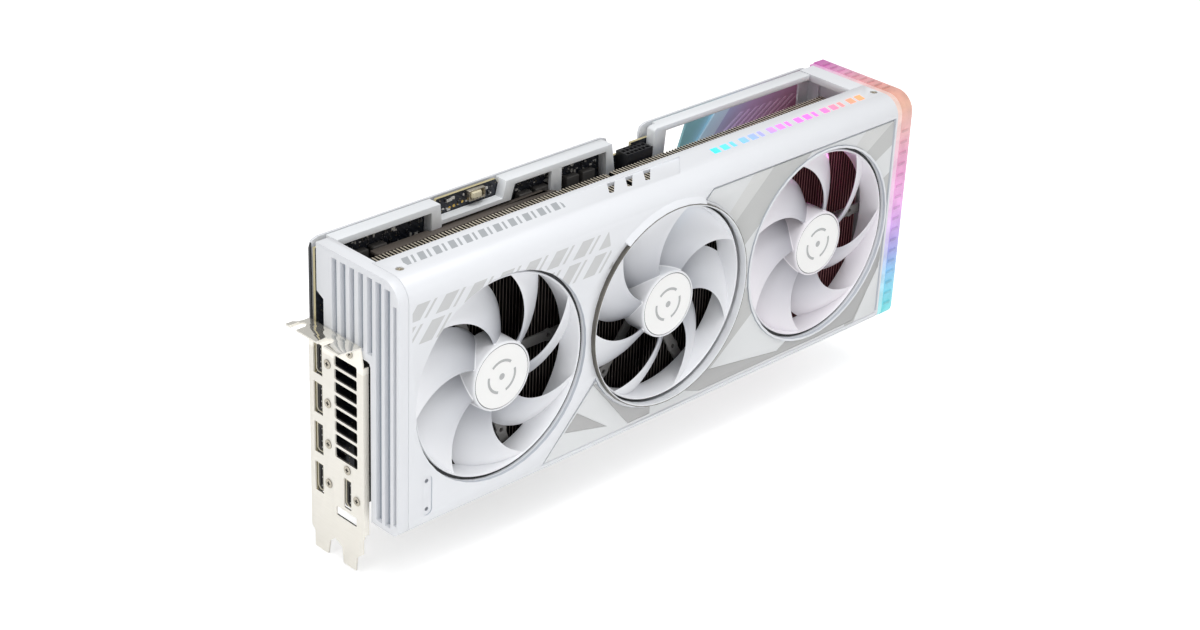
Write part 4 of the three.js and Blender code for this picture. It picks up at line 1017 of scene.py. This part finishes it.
# ---- sockets ------------------------------------------------------------------------------
def socket_details():
    """Pale sheet lining in each mouth, a dark core behind it and contact pins in the core."""
    liners = Build()
    pins = Build()
    cores = Build()
    front = (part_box("display_socket_1")[0].x - BASE.x) * 1000
    for node, corner, count in [
        ("display_socket_1", 1.2, 4),
        ("display_socket_2", 1.2, 4),
        ("display_socket_3", 1.2, 4),
        ("media_socket_rear", 1.6, 3),
        ("media_socket_front", 1.6, 3),
    ]:
        low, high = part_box(node)
        y0 = (low.y - BASE.y) * 1000 + 0.34
        z0 = (low.z - BASE.z) * 1000 + 0.34
        z1 = (high.z - BASE.z) * 1000 - 0.34
        y1 = y0 + 4.72 if node.startswith("display") else y0 + 4.42
        outer = [(y0, z0), (y1 - corner, z0), (y1, z0 + corner), (y1, z1), (y0, z1)]
        lip = 0.42
        inner = [
            (y0 + lip, z0 + lip),
            (y1 - corner - lip / 2, z0 + lip),
            (y1 - lip, z0 + corner + lip / 2),
            (y1 - lip, z1 - lip),
            (y0 + lip, z1 - lip),
        ]
        liners.frame(outer, inner, front - 0.25, front + 0.4, "x")
        slot = [
            (y0 + 1.9, z0 + 2.6),
            (y0 + 2.3, z0 + 2.2),
            (y0 + 2.7, z0 + 2.6),
            (y0 + 2.7, z1 - 2.2),
            (y0 + 1.9, z1 - 2.2),
        ]
        cores.frame(inner, slot, front + 0.15, front + 8.5, "x")
        for k in range(count):
            z = z0 + 2.6 + k * (z1 - z0 - 5.2) / (count - 1)
            pins.box(front - 0.05, front + 1.2, y0 + 1.0, y0 + 1.5, z - 0.35, z + 0.35)
    liners.done("socket_liners", [LINER], bevel=0.08)
    pins.done("socket_contacts", [TIN], bevel=0.05)
    cores.done("socket_cores", [BLACK], bevel=0.08)


socket_details()


# ---- stage, light and camera --------------------------------------------------------------
def stage():
    """Pale floor just below the card."""
    floor = bpy.data.meshes.new("floor")
    size = 6
    gap = 0.0008
    height = cad_box[0][2] - gap
    corners = [(-size, -size, height), (size, -size, height), (size, size, height), (-size, size, height)]
    floor.from_pydata(corners, [], [(0, 1, 2, 3)])
    ground = bpy.data.objects.new("floor", floor)
    bpy.context.scene.collection.objects.link(ground)
    look = Look("floor_pale")
    look.set(
        Base_Color=look.mix(look.noise(3, 2), srgb(250, 250, 250), srgb(253, 253, 253)),
        Roughness=0.8,
        Emission_Color=(1, 1, 1),
        Emission_Strength=look.math("MULTIPLY", look.node("ShaderNodeLightPath").outputs[0], 0.5),
        Normal=look.bump(look.noise(200, 2), 0.1, 0.0001),
    )
    floor.materials.append(look.material)


def area(name, where, aim, size, energy, colour=(1, 1, 1)):
    lamp = bpy.data.lights.new(name, "AREA")
    lamp.shape = "RECTANGLE"
    lamp.size, lamp.size_y = size
    lamp.energy = energy
    lamp.color = colour
    holder = bpy.data.objects.new(name, lamp)
    holder.location = where
    holder.rotation_euler = (Vector(aim) - Vector(where)).to_track_quat("-Z", "Y").to_euler()
    bpy.context.scene.collection.objects.link(holder)


def glow(name, where, energy, colour, radius=0.006):
    lamp = bpy.data.lights.new(name, "POINT")
    lamp.energy = energy
    lamp.color = colour
    lamp.shadow_soft_size = radius
    holder = bpy.data.objects.new(name, lamp)
    holder.location = where
    bpy.context.scene.collection.objects.link(holder)


def lights():
    """Three soft panels and an even surround, with faint coloured glow behind two fans."""
    world = bpy.data.worlds.new("studio")
    world.use_nodes = True
    sky = world.node_tree.nodes["Background"]
    sky.inputs[0].default_value = (1, 1, 1, 1)
    sky.inputs[1].default_value = 0.5
    bpy.context.scene.world = world
    middle = at(LENGTH / 2, 30, 60)
    area("top_soft", middle + Vector((-0.1, -0.25, 1.3)), middle, (1.0, 0.8), 9.5)
    area("front_soft", middle + Vector((-0.5, -1.6, 0.35)), middle, (1.0, 0.8), 5.2)
    area("left_soft", middle + Vector((-1.7, 0.1, 0.5)), middle, (0.8, 0.8), 4.2)
    glow("lamp_magenta", at(318, 22, 104), 0.012, (1.0, 0.18, 0.75))
    glow("lamp_red", at(330, 40, 70), 0.012, (1.0, 0.25, 0.2))
    glow("lamp_blue", at(190, 21, 112), 0.005, (0.3, 0.7, 1.0))


def camera():
    """Three-quarter view from the bracket end, a little above the card."""
    azimuth, elevation, roll = (math.radians(a) for a in (-45.24, 27.57, 2.61))
    level = math.cos(elevation)
    back = Vector((math.sin(azimuth) * level, -math.cos(azimuth) * level, math.sin(elevation)))
    side = Vector((0, 0, 1)).cross(back).normalized()
    up = back.cross(side)
    right = math.cos(roll) * side + math.sin(roll) * up
    over = -math.sin(roll) * side + math.cos(roll) * up
    lens = bpy.data.cameras.new("view")
    lens.lens = 70.53
    lens.sensor_width = 36
    lens.clip_start = 0.05
    lens.clip_end = 50
    eye = bpy.data.objects.new("view", lens)
    spin = Matrix((right, over, back)).transposed().to_4x4()
    eye.matrix_world = Matrix.Translation(at(-590.9, -711.3, 603.6)) @ spin
    bpy.context.scene.collection.objects.link(eye)
    bpy.context.scene.camera = eye


stage()
lights()
camera()
bpy.context.scene.view_settings.view_transform = "Standard"
